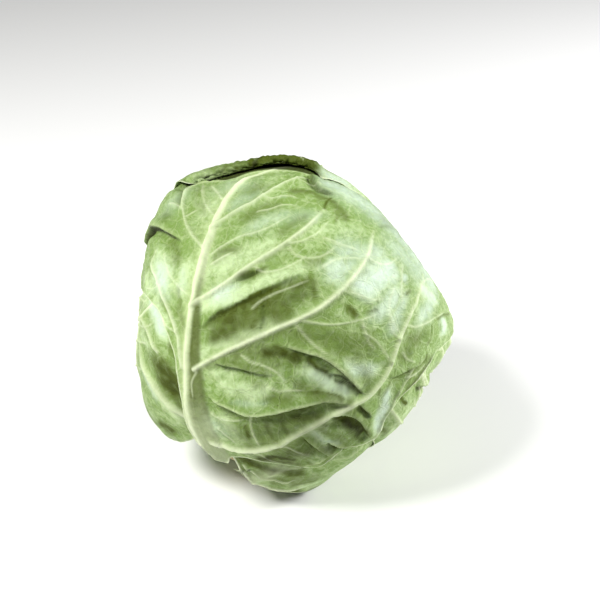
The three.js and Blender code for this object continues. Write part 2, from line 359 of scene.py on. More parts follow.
class Leaf:
    """One leaf: its chart, margin and outer grid, and the relief that its features add up."""

    def __init__(self, name, chart, outline, cells, seed, heart=(0.0, 0.0)):
        self.name = name
        self.heart = np.array(heart)
        self.chart = Chart(*chart)
        self.margin = smooth_curve(outline, MARGIN_STEPS, closed=True)
        self.outside = margin_field(self.margin)
        self.columns, self.rows = cells
        self.noise = Noise(seed)
        self.rng = np.random.default_rng(seed)
        self.x, self.y = self.grid()
        self.inset = np.maximum(-self.outside(self.x, self.y), 0.0)
        zero = np.zeros(self.x.shape)
        self.lift, self.shift_x, self.shift_y = zero.copy(), zero.copy(), zero.copy()
        self.rib = zero.copy()  # the part of the lift that only the outer sheet has
        # How much each point is rib, painted crease shade, pale edge or painted highlight, painted light,
        # painted shade and painted sheen
        self.masks = {name: zero.copy() for name in MASKS}
        self.wander = [
            1.5 * self.noise(self.x + n, self.y, 9.0) + 0.5 * self.noise(self.x, self.y + n, 3.0)
            for n in (900, 1800)
        ]
        self.speckle = self.noise(self.x, self.y + 2700, 4.0)
        self.ceiling_values = None

    def grid(self):
        """Chart points of an even grid of cells that runs out from the heart to the margin."""
        u, v = np.meshgrid(
            np.linspace(-1, 1, self.columns + 1), np.linspace(-1, 1, self.rows + 1)
        )
        x, y = u * np.sqrt(1 - v * v / 2), v * np.sqrt(1 - u * u / 2)
        place = (np.arctan2(y, x) / (2 * math.pi)) % 1.0 * len(self.margin)
        first = np.floor(place).astype(int) % len(self.margin)
        share = (place % 1.0)[..., None]
        edge = self.margin[first] * (1 - share) + self.margin[(first + 1) % len(self.margin)] * share
        flat = self.heart + (edge - self.heart) * np.hypot(x, y)[..., None]
        return flat[..., 0].ravel(), flat[..., 1].ravel()

    def waves(self, size, height, stretch=1.0, heading=0.0):
        """Adds soft hills, stretched along a heading."""
        c, s = math.cos(math.radians(heading)), math.sin(math.radians(heading))
        along, across = self.x * c + self.y * s, self.y * c - self.x * s
        self.lift += height * self.noise(along / stretch, across, size)

    def along(self, points, reach, step=CURVE_STEP):
        """The leaf's points within reach of a smooth curve, as near_curve gives them."""
        return near_curve(smooth_curve(points, step), self.x, self.y, reach)

    def mark(self, mask, chosen, values):
        """Raises a mask to the given values where they are higher."""
        self.masks[mask][chosen] = np.maximum(self.masks[mask][chosen], values)

    def tint(self, mask, points, left, right=None, amount=1.0):
        """Marks a mask along a curve, fading over a distance to its left and one to its right, and
        towards its ends. The marks' borders wander, as a leaf's own patches do."""
        right = left if right is None else right
        x, y = self.x + self.wander[0], self.y + self.wander[1]
        curve = smooth_curve(points, CURVE_STEP)
        chosen, side, place, _ = near_curve(curve, x, y, 2.2 * max(left, right))
        length = CURVE_STEP * (len(curve) - 1)
        run = min(1.3 * max(left, right), 0.5 * length)
        start = 0.0 if left != right else -0.7 * run
        ends = ramp(start, run, place * length) * ramp(start, run, (1 - place) * length)
        far = np.where(side > 0, left, right) * (0.5 + 0.5 * ends)
        uneven = (0.95 + 0.25 * self.speckle[chosen]).clip(0.6, 1.15)
        self.mark(mask, chosen, (amount * ends * uneven * bell(side, far)).clip(0, 1))

    def tints(self, strokes):
        """Several tints: each a mask, a curve, its fade to the left and right, and an amount."""
        for mask, points, left, right, amount in strokes:
            self.tint(mask, points, left, right, amount)

    def swell(self, points, height, left, right=None, ends=(0.2, 0.2)):
        """Lifts the leaf along a curve, or lowers it where the height is negative."""
        right = left if right is None else right
        reach = 2.0 * max(np.max(left), np.max(right))
        chosen, side, place, _ = self.along(points, reach)
        far = np.where(side > 0, between(left, place), between(right, place))
        self.lift[chosen] += height * tapered(place, ends) * bell(side, far)

    def rib_vein(self, points, width, height, tent=0.0, upper=1.0, colour=1.0, reach=(12.0, 6.0)):
        """A vein that stands out of the leaf, and the lamina drawn up to it. Width and height are
        pairs, at its two ends, and upper is 1 when the side towards the tip is on its left."""
        chosen, side, place, _ = self.along(points, 34.0 if tent else 12.0, 2.0)
        half = 0.5 * between(width, place)
        end = 1 - 0.6 * ramp(0.85, 1.0, place)
        beside = np.abs(side) / half
        self.rib[chosen] += between(height, place) * end * np.exp(-(beside**2.2))
        self.mark("vein", chosen, colour * end * np.exp(-(beside**2.4)))
        self.mark("pale", chosen, 0.5 * colour * end * np.exp(-beside / 1.9))
        if tent:
            far = np.where(side * upper > 0, reach[0], reach[1])
            fade = (1 - ramp(0.85, 1.0, place)) * ramp(0.0, 0.12, place + 0.03)
            self.lift[chosen] += tent * fade * np.exp(-np.abs(side) / far)

    def midrib(self, left_edge, right_edge, heights):
        """The leaf's main rib between two edges: a crest along its left and a long flank on its right,
        with shade painted over the flank. The heights are at even places along it."""
        left, right = smooth_curve(left_edge, 2.0), smooth_curve(right_edge, 2.0)
        places = np.linspace(0.0, 1.0, 90)
        ends = [np.linspace(0.0, 1.0, len(c)) for c in (left, right)]
        edges = [
            np.stack([np.interp(places, e, c[:, k]) for k in (0, 1)], 1)
            for e, c in zip(ends, (left, right))
        ]
        chosen, side, place, _ = near_curve((edges[0] + edges[1]) / 2, self.x, self.y, 40.0)
        widths = np.linalg.norm(edges[0] - edges[1], axis=1)
        half = 0.5 * np.interp(place, places, widths)
        tall = np.interp(place, np.linspace(0, 1, len(heights)), heights)
        from_left, from_right = half - side, half + side
        crest = ramp(-1.0, 1.2, from_left) * ramp(-1.5, 1.5, from_right)
        across = np.clip(from_left / (2 * half), 0, 1)
        self.rib[chosen] += tall * crest * ramp(0.0, 0.3, across) * (1 - 0.75 * across**1.5)
        self.lift[chosen] += 0.8 * np.exp(-np.maximum(-np.minimum(from_left, from_right), 0) / 12.0)
        # Cream along its left edge, with shade painted further over, where the middle of the leaf pulls
        # it round
        edge = np.interp(place, FLANK_SHADE_PLACES, FLANK_SHADE_STARTS)
        shade_share = ramp(edge, edge + 0.4, across) * np.interp(place, FLANK_SHADE_PLACES, FLANK_SHADE_SHARES)
        self.mark("vein", chosen, crest * (1 - 0.95 * shade_share))
        self.mark("deep", chosen, 0.8 * crest * shade_share)
        beyond = np.maximum(-from_left, 0) + 1.8 * np.maximum(-from_right, 0)
        halo = np.exp(-beyond / 3.5) * np.where(side > 0, 1.0, ramp(0.45, 0.65, place))
        self.mark("pale", chosen, 0.7 * halo)

    def pleat(self, points, rise, fall, left=6.0, right=7.0, edge=1.8, shade=0.7, line=0.0,
              lip=0.4, tuck=0.0, ends=(0.2, 0.2)):
        """A pleat along a curve: the lamina on its left swells up to an edge, drops beneath it on
        the right and comes slowly back up. Shade is painted on the drop, a dark line of painted
        shade under the edge, and a pale painted highlight along the lip."""
        chosen, side, place, normal = self.along(points, 2.2 * max(left, right + edge), 1.2)
        taper = tapered(place, ends)
        round_ends = taper * ramp(0.0, 0.25, place) * ramp(0.0, 0.25, 1 - place)
        below = np.maximum(-side, 0.0)
        dropped = ramp(0.0, edge, below)
        beyond = np.maximum(below - edge, 0.0)
        crest = np.where(side > 0, bell(side, left), 1.0)
        shape = rise * crest * (1 - dropped) - fall * dropped * bell(beyond, right)
        self.lift[chosen] += taper * shape
        self.mark("deep", chosen, shade * round_ends * dropped * bell(beyond, 0.85 * right))
        self.mark("crease", chosen, line * taper * bell(side + 0.75 * edge, 0.6 * edge))
        self.mark("pale", chosen, lip * taper * bell(side - 0.5, 0.8))
        over = 0.8 * tuck * bell(side + edge, 0.8 * edge) - tuck * bell(side - 0.2, 0.8 * edge)
        self.shift_x[chosen] += taper * over * normal[:, 0]
        self.shift_y[chosen] += taper * over * normal[:, 1]

    def level(self, sink):
        """Takes out the broad swell that the veins and folds add up to, and sinks the leaf, so that
        its ridges rather than its hollows lie on the outside of the head."""
        swell = (self.lift + 0.6 * self.rib).reshape(self.rows + 1, self.columns + 1)
        reach = LEVEL_CELLS
        for axis in (0, 1):
            padded = np.pad(swell, [(reach, reach) if k == axis else (0, 0) for k in (0, 1)], "edge")
            sums = np.cumsum(padded, axis)
            first = np.take(sums, np.arange(swell.shape[axis]), axis)
            last = np.take(sums, np.arange(swell.shape[axis]) + 2 * reach, axis)
            swell = (last - first) / (2 * reach)
        self.lift -= swell.ravel() + sink

    def margin_waves(self, height, size, reach):
        """A margin that flares and dips along its length."""
        turn = np.arctan2(self.y, self.x)
        girth = CHART_RADIUS * 1.3
        wave = self.noise(girth * np.cos(turn) + 500, girth * np.sin(turn), size)
        self.lift += height * (0.35 + wave) * np.exp(-self.inset / reach)

    def hem(self, first, last, radius, turn, headings, proud, shade_share):
        """Rolls the margin under between two headings on the chart, in degrees. The hem stands
        proud of the leaf below, and is painted in shade over its roll, by as much as is given at some
        headings."""
        heading = np.degrees(np.arctan2(self.y, self.x))
        window = ramp(first, first + 8, heading) * (1 - ramp(last - 8, last, heading))
        crumple = self.noise(heading * 1.4, self.inset * 0.5 + 70, 5.0)
        crumple = crumple + 0.6 * self.noise(heading * 1.4, self.inset + 170, 2.2)
        radius = radius * (1 + 0.35 * crumple)
        length = radius * math.radians(turn)
        inset = self.inset
        bend = np.clip((length - inset) / radius, 0.0, None) * window
        gx = self.outside(self.x + 1, self.y) - self.outside(self.x - 1, self.y)
        gy = self.outside(self.x, self.y + 1) - self.outside(self.x, self.y - 1)
        norm = np.maximum(np.hypot(gx, gy), 1e-6)
        moved = radius * (np.sin(bend) - bend)
        self.shift_x += moved * gx / norm
        self.shift_y += moved * gy / norm
        height = np.interp(heading, headings, proud) * (1 + 0.25 * crumple)
        self.lift += window * height * (1 - ramp(length, length + 14, inset))
        self.lift -= radius * (1 - np.cos(bend))
        amount = window * np.interp(heading, headings, shade_share) * (1 + 0.5 * crumple).clip(0.5, 1.2)
        self.mark("deep", slice(None), amount * (1 - ramp(length, length + 7, inset)))

    def settle(self, others, floor_gap):
        """Wraps the outer sheet around the head under the leaves that lie over it."""
        directions = self.chart.directions(self.x, self.y)
        depth, free = np.zeros(self.x.shape), np.ones(self.x.shape)
        for other in others:
            outside = other.outside(*other.chart.flat(directions))
            depth += COVER_DROP * (1 - ramp(0.0, 10.0, outside))
            depth += DEEP_COVER_DROP * (1 - ramp(-14.0, -2.0, outside))
            free *= ramp(-3.0, 9.0, outside)
        self.lift *= free
        self.rib *= 0.25 + 0.75 * free
        directions = self.chart.directions(self.x + self.shift_x, self.y + self.shift_y)
        lamina = head_radius(directions, depth) + self.lift
        ceiling = np.full(lamina.shape, FAR_OFF)
        for other in others:
            x, y = other.chart.flat(directions)
            inner = other.ceiling(x, y)
            covered = other.outside(x, y) < 0.3
            ceiling = np.minimum(ceiling, np.where(covered, inner - 0.5, FAR_OFF))
        ground = floor_radius(directions, floor_gap)
        lamina = soft_lowest(lamina, ground, 1.2)
        outer = np.minimum(lamina + self.rib, ceiling)
        outer = np.minimum(outer, ground)
        self.directions = directions
        self.outer = outer
        self.lamina = np.minimum(lamina, outer)

    def thickness(self):
        return 0.45 + 0.5 * ramp(0.0, 9.0, self.inset) + 0.5 * np.clip(self.masks["crease"], 0, 1)

    def inner_sheet(self):
        """Directions and radii of the inner sheet, on every fourth point of the outer grid, held
        under the lowest part of the outer sheet around each."""
        shape = (self.rows + 1, self.columns + 1)
        under = (self.lamina - self.thickness()).reshape(shape)
        lowest = under.copy()
        for axis in (0, 1):
            padded = np.pad(lowest, [(2, 2) if k == axis else (0, 0) for k in (0, 1)], "edge")
            for offset in range(5):
                lowest = np.minimum(lowest, np.take(padded, np.arange(shape[axis]) + offset, axis))
        inside = ramp(1.0, 6.0, self.inset).reshape(shape)
        radius = under * (1 - inside) + lowest * inside
        pick = (slice(None, None, INNER_SHARE),) * 2
        directions = self.directions.reshape(shape + (3,))[pick].reshape(-1, 3)
        return directions, radius[pick].ravel(), radius

    def ceiling(self, x, y):
        """The radius of the inner sheet over a point of the chart, for the leaves below."""
        cell = CEILING_CELL
        count = int(2 * FIELD_REACH / cell) + 2
        if self.ceiling_values is None:
            _, _, radius = self.inner_sheet()
            i = np.clip(((self.x + self.shift_x + FIELD_REACH) / cell).astype(int), 0, count - 1)
            j = np.clip(((self.y + self.shift_y + FIELD_REACH) / cell).astype(int), 0, count - 1)
            values = np.full((count, count), FAR_OFF)
            np.minimum.at(values, (j, i), radius.ravel())
            around = np.pad(values, 1, constant_values=FAR_OFF)
            for dj in range(3):
                for di in range(3):
                    values = np.minimum(values, around[dj : dj + count, di : di + count])
            self.ceiling_values = values
        i = np.clip(((x + FIELD_REACH) / cell).astype(int), 0, count - 1)
        j = np.clip(((y + FIELD_REACH) / cell).astype(int), 0, count - 1)
        return self.ceiling_values[j, i]

    def build(self):
        """The leaf as one closed mesh: a fine outer sheet, a coarser inner sheet and a rim."""
        outer_points = placed(self.directions, self.outer)
        inner_directions, inner_radius, _ = self.inner_sheet()
        inner_points = placed(inner_directions, inner_radius)
        points = np.concatenate([outer_points, inner_points])
        first = len(outer_points)
        few_columns, few_rows = self.columns // INNER_SHARE, self.rows // INNER_SHARE
        few_wide = few_columns + 1

        def quads(columns, rows, start, flip):
            i, j = np.meshgrid(np.arange(columns), np.arange(rows))
            a = (start + j * (columns + 1) + i).ravel()
            corners = [a, a + 1, a + columns + 2, a + columns + 1]
            return np.stack(corners[::-1] if flip else corners, 1)

        faces = [quads(self.columns, self.rows, 0, False)]
        faces.append(quads(few_columns, few_rows, first, True))
        fine = rim_ring(self.columns, self.rows)
        few = [first + k for k in rim_ring(few_columns, few_rows)]
        rim = []
        half = INNER_SHARE // 2
        for k, here in enumerate(few):
            after = few[(k + 1) % len(few)]
            edge = [fine[(k * INNER_SHARE + n) % len(fine)] for n in range(INNER_SHARE + 1)]
            rim += [(edge[n], here, edge[n + 1]) for n in range(half)]
            rim.append((edge[half], here, after))
            rim += [(edge[n], after, edge[n + 1]) for n in range(half, INNER_SHARE)]
        mesh = bpy.data.meshes.new(self.name)
        quad_faces = np.concatenate(faces)
        rim_faces = np.array(rim)
        mesh.vertices.add(len(points))
        mesh.vertices.foreach_set("co", points.ravel())
        loops = np.concatenate([quad_faces.ravel(), rim_faces.ravel()])
        mesh.loops.add(len(loops))
        mesh.loops.foreach_set("vertex_index", loops)
        sizes = np.concatenate([np.full(len(quad_faces), 4), np.full(len(rim_faces), 3)])
        mesh.polygons.add(len(sizes))
        starts = np.concatenate([[0], np.cumsum(sizes)[:-1]])
        mesh.polygons.foreach_set("loop_start", starts)
        mesh.update(calc_edges=True)
        mesh.shade_smooth()
        self.add_layers(mesh, first)
        self.add_map(mesh, quad_faces, rim_faces, first, few_wide)
        mesh.validate()
        return bpy.data.objects.new(self.name + "_surface", mesh)

    def add_layers(self, mesh, first):
        """The values at each point that the leaf's material reads."""
        pick = np.arange(first).reshape(self.rows + 1, self.columns + 1)
        pick = pick[::INNER_SHARE, ::INNER_SHARE].ravel()
        fields = {
            **{name: np.clip(mask, 0, 1) for name, mask in self.masks.items()},
            "inset": self.inset,
            "base": 1 - ramp(8.0, 75.0, np.hypot(self.x - self.foot[0], self.y - self.foot[1])),
        }
        for name, values in fields.items():
            layer = mesh.attributes.new(name, "FLOAT", "POINT")
            both = np.concatenate([values, values[pick]])
            layer.data.foreach_set("value", both.astype(np.float32))
        layer = mesh.attributes.new("chart", "FLOAT_VECTOR", "POINT")
        flat = np.stack([self.x, self.y, np.full(self.x.shape, 0.0)], 1)
        both = np.concatenate([flat, flat[pick]])
        layer.data.foreach_set("vector", both.astype(np.float32).ravel())

    def add_map(self, mesh, quad_faces, rim_faces, first, few_wide):
        """A texture map with the outer sheet on the left, the inner sheet and the rim beside it."""
        columns, rows = self.columns // INNER_SHARE, self.rows // INNER_SHARE
        index = np.arange(first + few_wide * (rows + 1))
        wide = self.columns + 1
        across = index % wide / self.columns * MAP_OUTER_WIDE
        outer = np.stack([across, index // wide / self.rows], 1)
        low = index - first
        across = MAP_INNER_LEFT + low % few_wide / columns * MAP_INNER_WIDE
        inner = np.stack([across, low // few_wide / rows * MAP_INNER_TALL], 1)
        spots = np.where((index < first)[:, None], outer, inner)
        uv = [spots[quad_faces.ravel()]]
        count = len(rim_faces)
        across = np.arange(count)[:, None] / count
        corner = np.where(rim_faces < first, MAP_RIM_LOW, MAP_RIM_HIGH)
        u = MAP_INNER_LEFT + MAP_INNER_WIDE * (across + np.array([[0.0, 0.5, 1.0]]) / count)
        uv.append(np.stack([u, corner], 2).reshape(-1, 2))
        layer = mesh.uv_layers.new(name="OFBake")
        layer.data.foreach_set("uv", np.concatenate(uv).astype(np.float32).ravel())


# The leaves' outlines, anticlockwise from the right-hand side, in millimetres on their charts
BACK_OUTLINE = (
    (94, 10), (102, 36), (110, 58), (120, 78), (101, 110), (62, 133), (15, 145), (-30, 134), (-68, 108),
    (-90, 72), (-98, 28), (-96, -18), (-86, -58), (-78, -90), (-60, -114), (-38, -123),
    (-16, -116), (0, -112), (16, -115), (30, -104), (50, -84), (68, -56), (82, -22),
)
FRONT_OUTLINE = (
    (118, 34), (131, 48), (126, 78), (106, 108), (70, 130), (22, 138), (-28, 132), (-66, 114),
    (-98, 88), (-118, 56), (-126, 24), (-120, 0), (-105, -11), (-85, -12), (-66, -14),
    (-54, -22), (-43, -34), (-34, -56), (-27, -75), (-18, -90), (-5, -97), (2, -93), (3, -84),
    (10, -78), (28, -76), (46, -74), (58, -72), (64, -62), (66, -51), (78, -45), (84, -38),
    (84, -15), (96, 5), (107, 21), (110, 28),
)
RIGHT_OUTLINE = (
    (100, 0), (98, 40), (78, 78), (40, 100), (0, 104), (-40, 98), (-78, 74), (-98, 36),
    (-102, -8), (-92, -28), (-76, -40), (-58, -46), (-44, -58), (-32, -76), (-22, -96),
    (-12, -113), (10, -113), (36, -110), (60, -96), (84, -66), (96, -34),
)
LEFT_OUTLINE = (
    (120, -10), (112, 30), (92, 66), (58, 96), (10, 112), (-40, 104), (-80, 78), (-100, 36),
    (-102, -10), (-90, -52), (-66, -88), (-34, -104), (-6, -102), (22, -99), (38, -103),
    (53, -106.5), (66, -107), (82, -100), (100, -84), (113, -60), (119, -36),
)
LOWER_OUTLINE = (
    (104, 0), (100, 44), (78, 84), (36, 104), (-14, 104), (-62, 88), (-94, 52), (-104, 6),
    (-98, -38), (-74, -70), (-46, -83), (-28, -87), (-12, -98), (-9, -112), (12, -113),
    (18, -104), (34, -96), (58, -90), (86, -70), (100, -36),
)
REAR_OUTLINE = (
    (104, 0), (100, 46), (84, 88), (50, 120), (4, 134), (-46, 124), (-84, 92), (-102, 46),
    (-104, 0), (-94, -44), (-72, -84), (-38, -106), (-10, -113), (12, -113), (42, -104),
    (74, -82), (96, -44),
)


def plain_veins(leaf, settings, lean=0.0):
    """A midrib from the foot towards the tip, and side veins that leave it by turns and curve up
    towards the margin."""
    foot = np.array(leaf.foot)
    midrib = []
    for t in np.linspace(0.0, 1.0, 9):
        bow = lean * math.sin(math.pi * t) + 2.5 * leaf.noise(np.array(9.0 * t), np.array(3.0), 2.0)
        midrib.append((foot[0] * (1 - t) + bow, foot[1] + t * (MIDRIB_TIP - foot[1])))
    tall = settings.vein_height / MM
    leaf.rib_vein(midrib, (12.0, 1.6), (2.6 * tall, 0.5 * tall), tent=1.5)
    line = smooth_curve(midrib, 2.0)
    for n in range(SIDE_VEINS):
        side = 1 if n % 2 else -1
        share = (n + leaf.rng.uniform(-0.2, 0.2)) / SIDE_VEINS
        start = line[int(len(line) * (0.1 + 0.72 * share))]
        point, points = np.array(start), [start]
        heading = math.radians(90 - side * (62 - 2.2 * n + leaf.rng.uniform(-5, 5)))
        for _ in range(16):
            point = point + SIDE_VEIN_STEP * np.array([math.cos(heading), math.sin(heading)])
            heading += side * math.radians(2.6 + leaf.rng.uniform(-2.5, 2.5))
            if -leaf.outside(point[:1], point[1:])[0] < SIDE_VEIN_STOP:
                break
            points.append(point)
        if len(points) < 4:
            continue
        size = 3.0 - 0.09 * n
        leaf.rib_vein(points, (size, 0.9), (tall, 0.35 * tall), tent=1.3, upper=side)
        branch_veins(leaf, points, tall)


def branch_veins(leaf, points, tall):
    """Thin branches that leave a side vein on both sides."""
    line = smooth_curve(points, 2.0)
    steps = int(len(line) * 2.0 / BRANCH_GAP)
    for k in range(1, steps + 1):
        at = min(len(line) - 2, int(k * BRANCH_GAP / 2.0 + leaf.rng.integers(-2, 3)))
        ahead = line[at + 1] - line[at]
        for turn in (1, -1):
            heading = math.atan2(ahead[1], ahead[0]) + turn * math.radians(leaf.rng.uniform(42, 66))
            spot, path = line[at], [line[at]]
            for _ in range(int(leaf.rng.uniform(0.5, 1.0) * BRANCH_LENGTH / BRANCH_STEP)):
                heading -= turn * math.radians(leaf.rng.uniform(-9, 16))
                spot = spot + BRANCH_STEP * np.array([math.cos(heading), math.sin(heading)])
                if -leaf.outside(spot[:1], spot[1:])[0] < BRANCH_STOP:
                    break
                path.append(spot)
            if len(path) > 2:
                leaf.rib_vein(path, (1.5, 0.8), (0.4 * tall, 0.12 * tall), colour=0.7)


def back_leaf(settings):
    """The outermost leaf, with the rolled hem along the crown."""
    leaf = Leaf("back_leaf", (90, -140), BACK_OUTLINE, settings.cells, 11)
    leaf.foot = (0, -116)
    leaf.waves(44, 1.2)
    leaf.waves(17, 0.45, stretch=2.0, heading=80)
    leaf.waves(7, 0.14)
    plain_veins(leaf, settings, lean=4.0)
    leaf.level(0.6)
    leaf.hem(28, 84, 2.2, 205, (31, 40, 50, 60, 74, 82), (0.0, 0.8, 2.6, 4.0, 3.4, 1.0),
             (0.1, 0.3, 0.8, 1.0, 0.9, 0.3))
    # Painted light and painted sheen on the crown, painted shade and painted crease shadow under the hem
    leaf.tints((
        ("light", [(122, 73), (114, 86), (107, 98), (98, 108), (86, 114)], 7.0, 7.0, 0.6),
        ("deep", [(108, 104), (98, 114), (86, 118)], 4.0, 4.0, 0.8),
        ("deep", [(72, 116), (58, 119), (46, 127), (36, 132)], 5.0, 5.0, 1.0),
        ("crease", [(110, 98), (106, 104), (98, 112)], 1.6, 1.6, 0.6),
        ("crease", [(62, 118), (50, 124), (40, 130), (30, 133)], 2.2, 2.2, 0.5),
        ("light", [(84, 118), (80, 117), (76, 116)], 2.0, 2.0, 0.9),
        ("light", [(34, 140), (20, 142), (0, 141), (-24, 135)], 12.0, 12.0, 1.0),
        ("bloom", [(30, 140), (16, 142), (-4, 140)], 9.0, 9.0, 0.8),
        ("crease", [(122, 76), (114, 90), (106, 104), (97, 114), (86, 118), (74, 118)], 1.6, 1.6, 0.9),
    ))
    leaf.swell([(34, 140), (15, 145), (-8, 141), (-30, 134), (-50, 122)], -1.4, 6.0)
    leaf.margin_waves(0.9, 22, 5)
    return leaf


def front_leaf(settings):
    """The broad leaf with the thick midrib."""
    leaf = Leaf("front_leaf", (88, 32), FRONT_OUTLINE, settings.front_cells, 23, heart=(-32, 10))
    leaf.foot = (-6, -112)
    leaf.waves(46, 0.8)
    leaf.waves(19, 0.35, stretch=2.2, heading=38)
    leaf.waves(7, 0.34)
    leaf.waves(3.2, 0.13)
    leaf.midrib(
        [(-2, -116), (-18, -90), (-30, -65), (-36, -40), (-44, -10), (-52, 20), (-57, 40),
         (-62, 70), (-60, 90), (-45, 120)],
        [(14, -114), (2, -84), (-12, -60), (-24, -34), (-36, -6), (-48, 24), (-56, 50),
         (-60, 72), (-58, 90), (-43, 118)],
        (2.2, 2.6, 2.8, 2.8, 2.6, 2.4, 2.2, 2.0, 1.6, 1.3, 1.0, 0.8),
    )
    front_veins(leaf, settings.vein_height / MM)
    front_pleats(leaf)
    front_colours(leaf)
    leaf.level(1.0)
    leaf.swell([(14, -80), (30, -78), (50, -77), (62, -70), (66, -56), (84, -44)], -1.8, 5.0)

    # The crown end: a crisp rim with a pale painted highlight, and the tip diving under the back
    # leaf, with shade painted on the gap beyond the rim
    chosen, side, place, _ = leaf.along(
        [(-98, 52), (-88, 68), (-72, 78), (-62, 95), (-48, 105), (-28, 112), (-8, 112)], 40.0)
    ends = tapered(place, (0.12, 0.2))
    leaf.lift[chosen] -= 6.5 * ends * ramp(0.0, 5.0, side)
    leaf.lift[chosen] += 0.9 * ends * bell(side + 1.0, 2.0)
    leaf.mark("pale", chosen, 0.9 * ends * bell(side + 0.6, 1.0))
    leaf.mark("crease", chosen, 0.9 * ends * ramp(0.3, 2.0, side))
    leaf.margin_waves(0.8, 16, 3.5)
    return leaf


def front_veins(leaf, tall):
    """The front leaf's side veins: four to the right of its midrib, from the top one down, three to
    the left, and the thin ones between them."""
    leaf.rib_vein([(-56, 42), (-50, 54), (-42, 68), (-36, 86), (-24, 108)],
                  (2.8, 1.4), (1.0 * tall, 0.6 * tall), tent=1.2, colour=0.7, reach=(8, 5))
    leaf.rib_vein([(-44, 0), (-33, 14), (-22, 32), (-12, 48), (-5, 64), (-2, 80)],
                  (3.2, 2.0), (1.1 * tall, 0.9 * tall), tent=1.8, colour=0.8, reach=(12, 3.5))
    leaf.rib_vein([(-30, -31), (-20, -18), (0, 4), (18, 24), (28, 44), (32, 62), (31, 82)],
                  (2.6, 2.2), (1.1 * tall, 0.8 * tall), tent=1.8, colour=1.0, reach=(5, 6))
    leaf.rib_vein([(-28, -31), (-29, -38), (-26, -48)], (1.6, 1.2), (0.3 * tall, 0.2 * tall),
                  colour=0.5)
    leaf.rib_vein([(-10, -74), (8, -70), (24, -58), (36, -40), (50, -22), (62, -10), (68, 6),
                   (68, 28), (72, 50), (78, 76)],
                  (4.4, 1.8), (1.4 * tall, 0.6 * tall), tent=1.6, colour=0.85, reach=(7, 3.5))
    leaf.rib_vein([(83, -40), (82, -20), (84, 2), (92, 20)],
                  (1.6, 1.2), (0.7 * tall, 0.5 * tall), tent=1.0, colour=0.6, reach=(5, 3))
    leaf.rib_vein([(-38, -34), (-46, -20), (-58, -10), (-76, 0), (-92, 8), (-92, 16)],
                  (2.8, 1.8), (1.0 * tall, 0.7 * tall), tent=1.2, upper=-1, colour=0.75)
    leaf.rib_vein([(-54, 30), (-70, 36), (-84, 46), (-92, 62)],
                  (1.8, 1.6), (0.8 * tall, 0.9 * tall), tent=1.0, upper=-1, colour=0.6)
    leaf.rib_vein([(-82, 17), (-68, 8), (-48, 3)],
                  (1.4, 1.6), (0.4 * tall, 0.6 * tall), tent=0.6, colour=0.4)
    leaf.rib_vein([(-63, 62), (-70, 65), (-78, 68)], (1.6, 1.0),
                  (0.5 * tall, 0.3 * tall), colour=0.7)
    thin = (
        [(-79, 42), (-77, 45), (-74, 49)],
        [(-86, 46), (-92, 47), (-100, 45)],
        [(-47, 29), (-38, 42), (-26, 53), (-17, 67)],
        [(-44, 24), (-40, 29), (-36, 34)],
        [(-12, 12), (-9, 18), (-4, 24), (2, 30), (8, 36)],
        [(14, 16), (28, 20), (40, 27), (50, 35)],
        [(42, 28), (47, 22), (51, 18), (56, 16)],
        [(54, 52), (54, 44), (57, 37), (63, 32), (68, 28)],
        [(56, 71), (58, 61), (63, 45)],
        [(10, 14), (15, 11), (21, 8), (27, 6), (33, 5)],
        [(71, 36), (77, 37), (84, 41), (92, 47), (100, 53), (109, 59)],
        [(12, 46), (17, 53), (25, 58), (31, 60)],
        [(-10, 50), (-4, 46), (3, 47), (10, 52), (14, 60)],
        [(7, -42), (8, -46), (11, -52), (14, -57), (18, -61)],
        [(-14, -52), (-8, -52), (-2, -50), (4, -47)],
        [(-8, -60), (-2, -63), (4, -66)],
        [(10, -22), (16, -22), (22, -19), (28, -17)],
        [(-8, -12), (-2, -13), (5, -12), (12, -13), (18, -16)],
        [(-36, 62), (-30, 66), (-25, 72), (-18, 75)],
        [(6, 62), (12, 62), (20, 63), (26, 64)],
        [(-22, 32), (-16, 31), (-9, 34), (-3, 40), (2, 48)],
        [(-12, 48), (-4, 55), (2, 64), (4, 74)],
        [(32, 62), (40, 62), (47, 66), (52, 74)],
        [(26, 38), (34, 40), (42, 40), (50, 44)],
        [(68, 12), (61, 17), (53, 21), (44, 22)],
        [(68, 26), (61, 30), (56, 38)],
        [(84, 6), (92, 10), (100, 18)],
        [(76, 68), (84, 76), (94, 80)],
        [(-30, 98), (-22, 99), (-12, 102)],
        [(-40, 74), (-34, 74), (-28, 80), (-20, 82)],
        [(-60, 50), (-70, 54), (-80, 62), (-86, 68)],
        [(-47, -18), (-56, -18), (-66, -15), (-78, -12)],
        [(-75, 0), (-80, -5), (-90, -8)],
        [(28, -54), (36, -56), (46, -58)],
        [(16, -66), (24, -70), (34, -72)],
        [(74, 20), (80, 17), (86, 17)],
    )
    for points in thin:
        leaf.rib_vein(points, (1.4, 0.9), (0.4 * tall, 0.25 * tall), tent=0.35, colour=0.5,
                      reach=(4, 3))


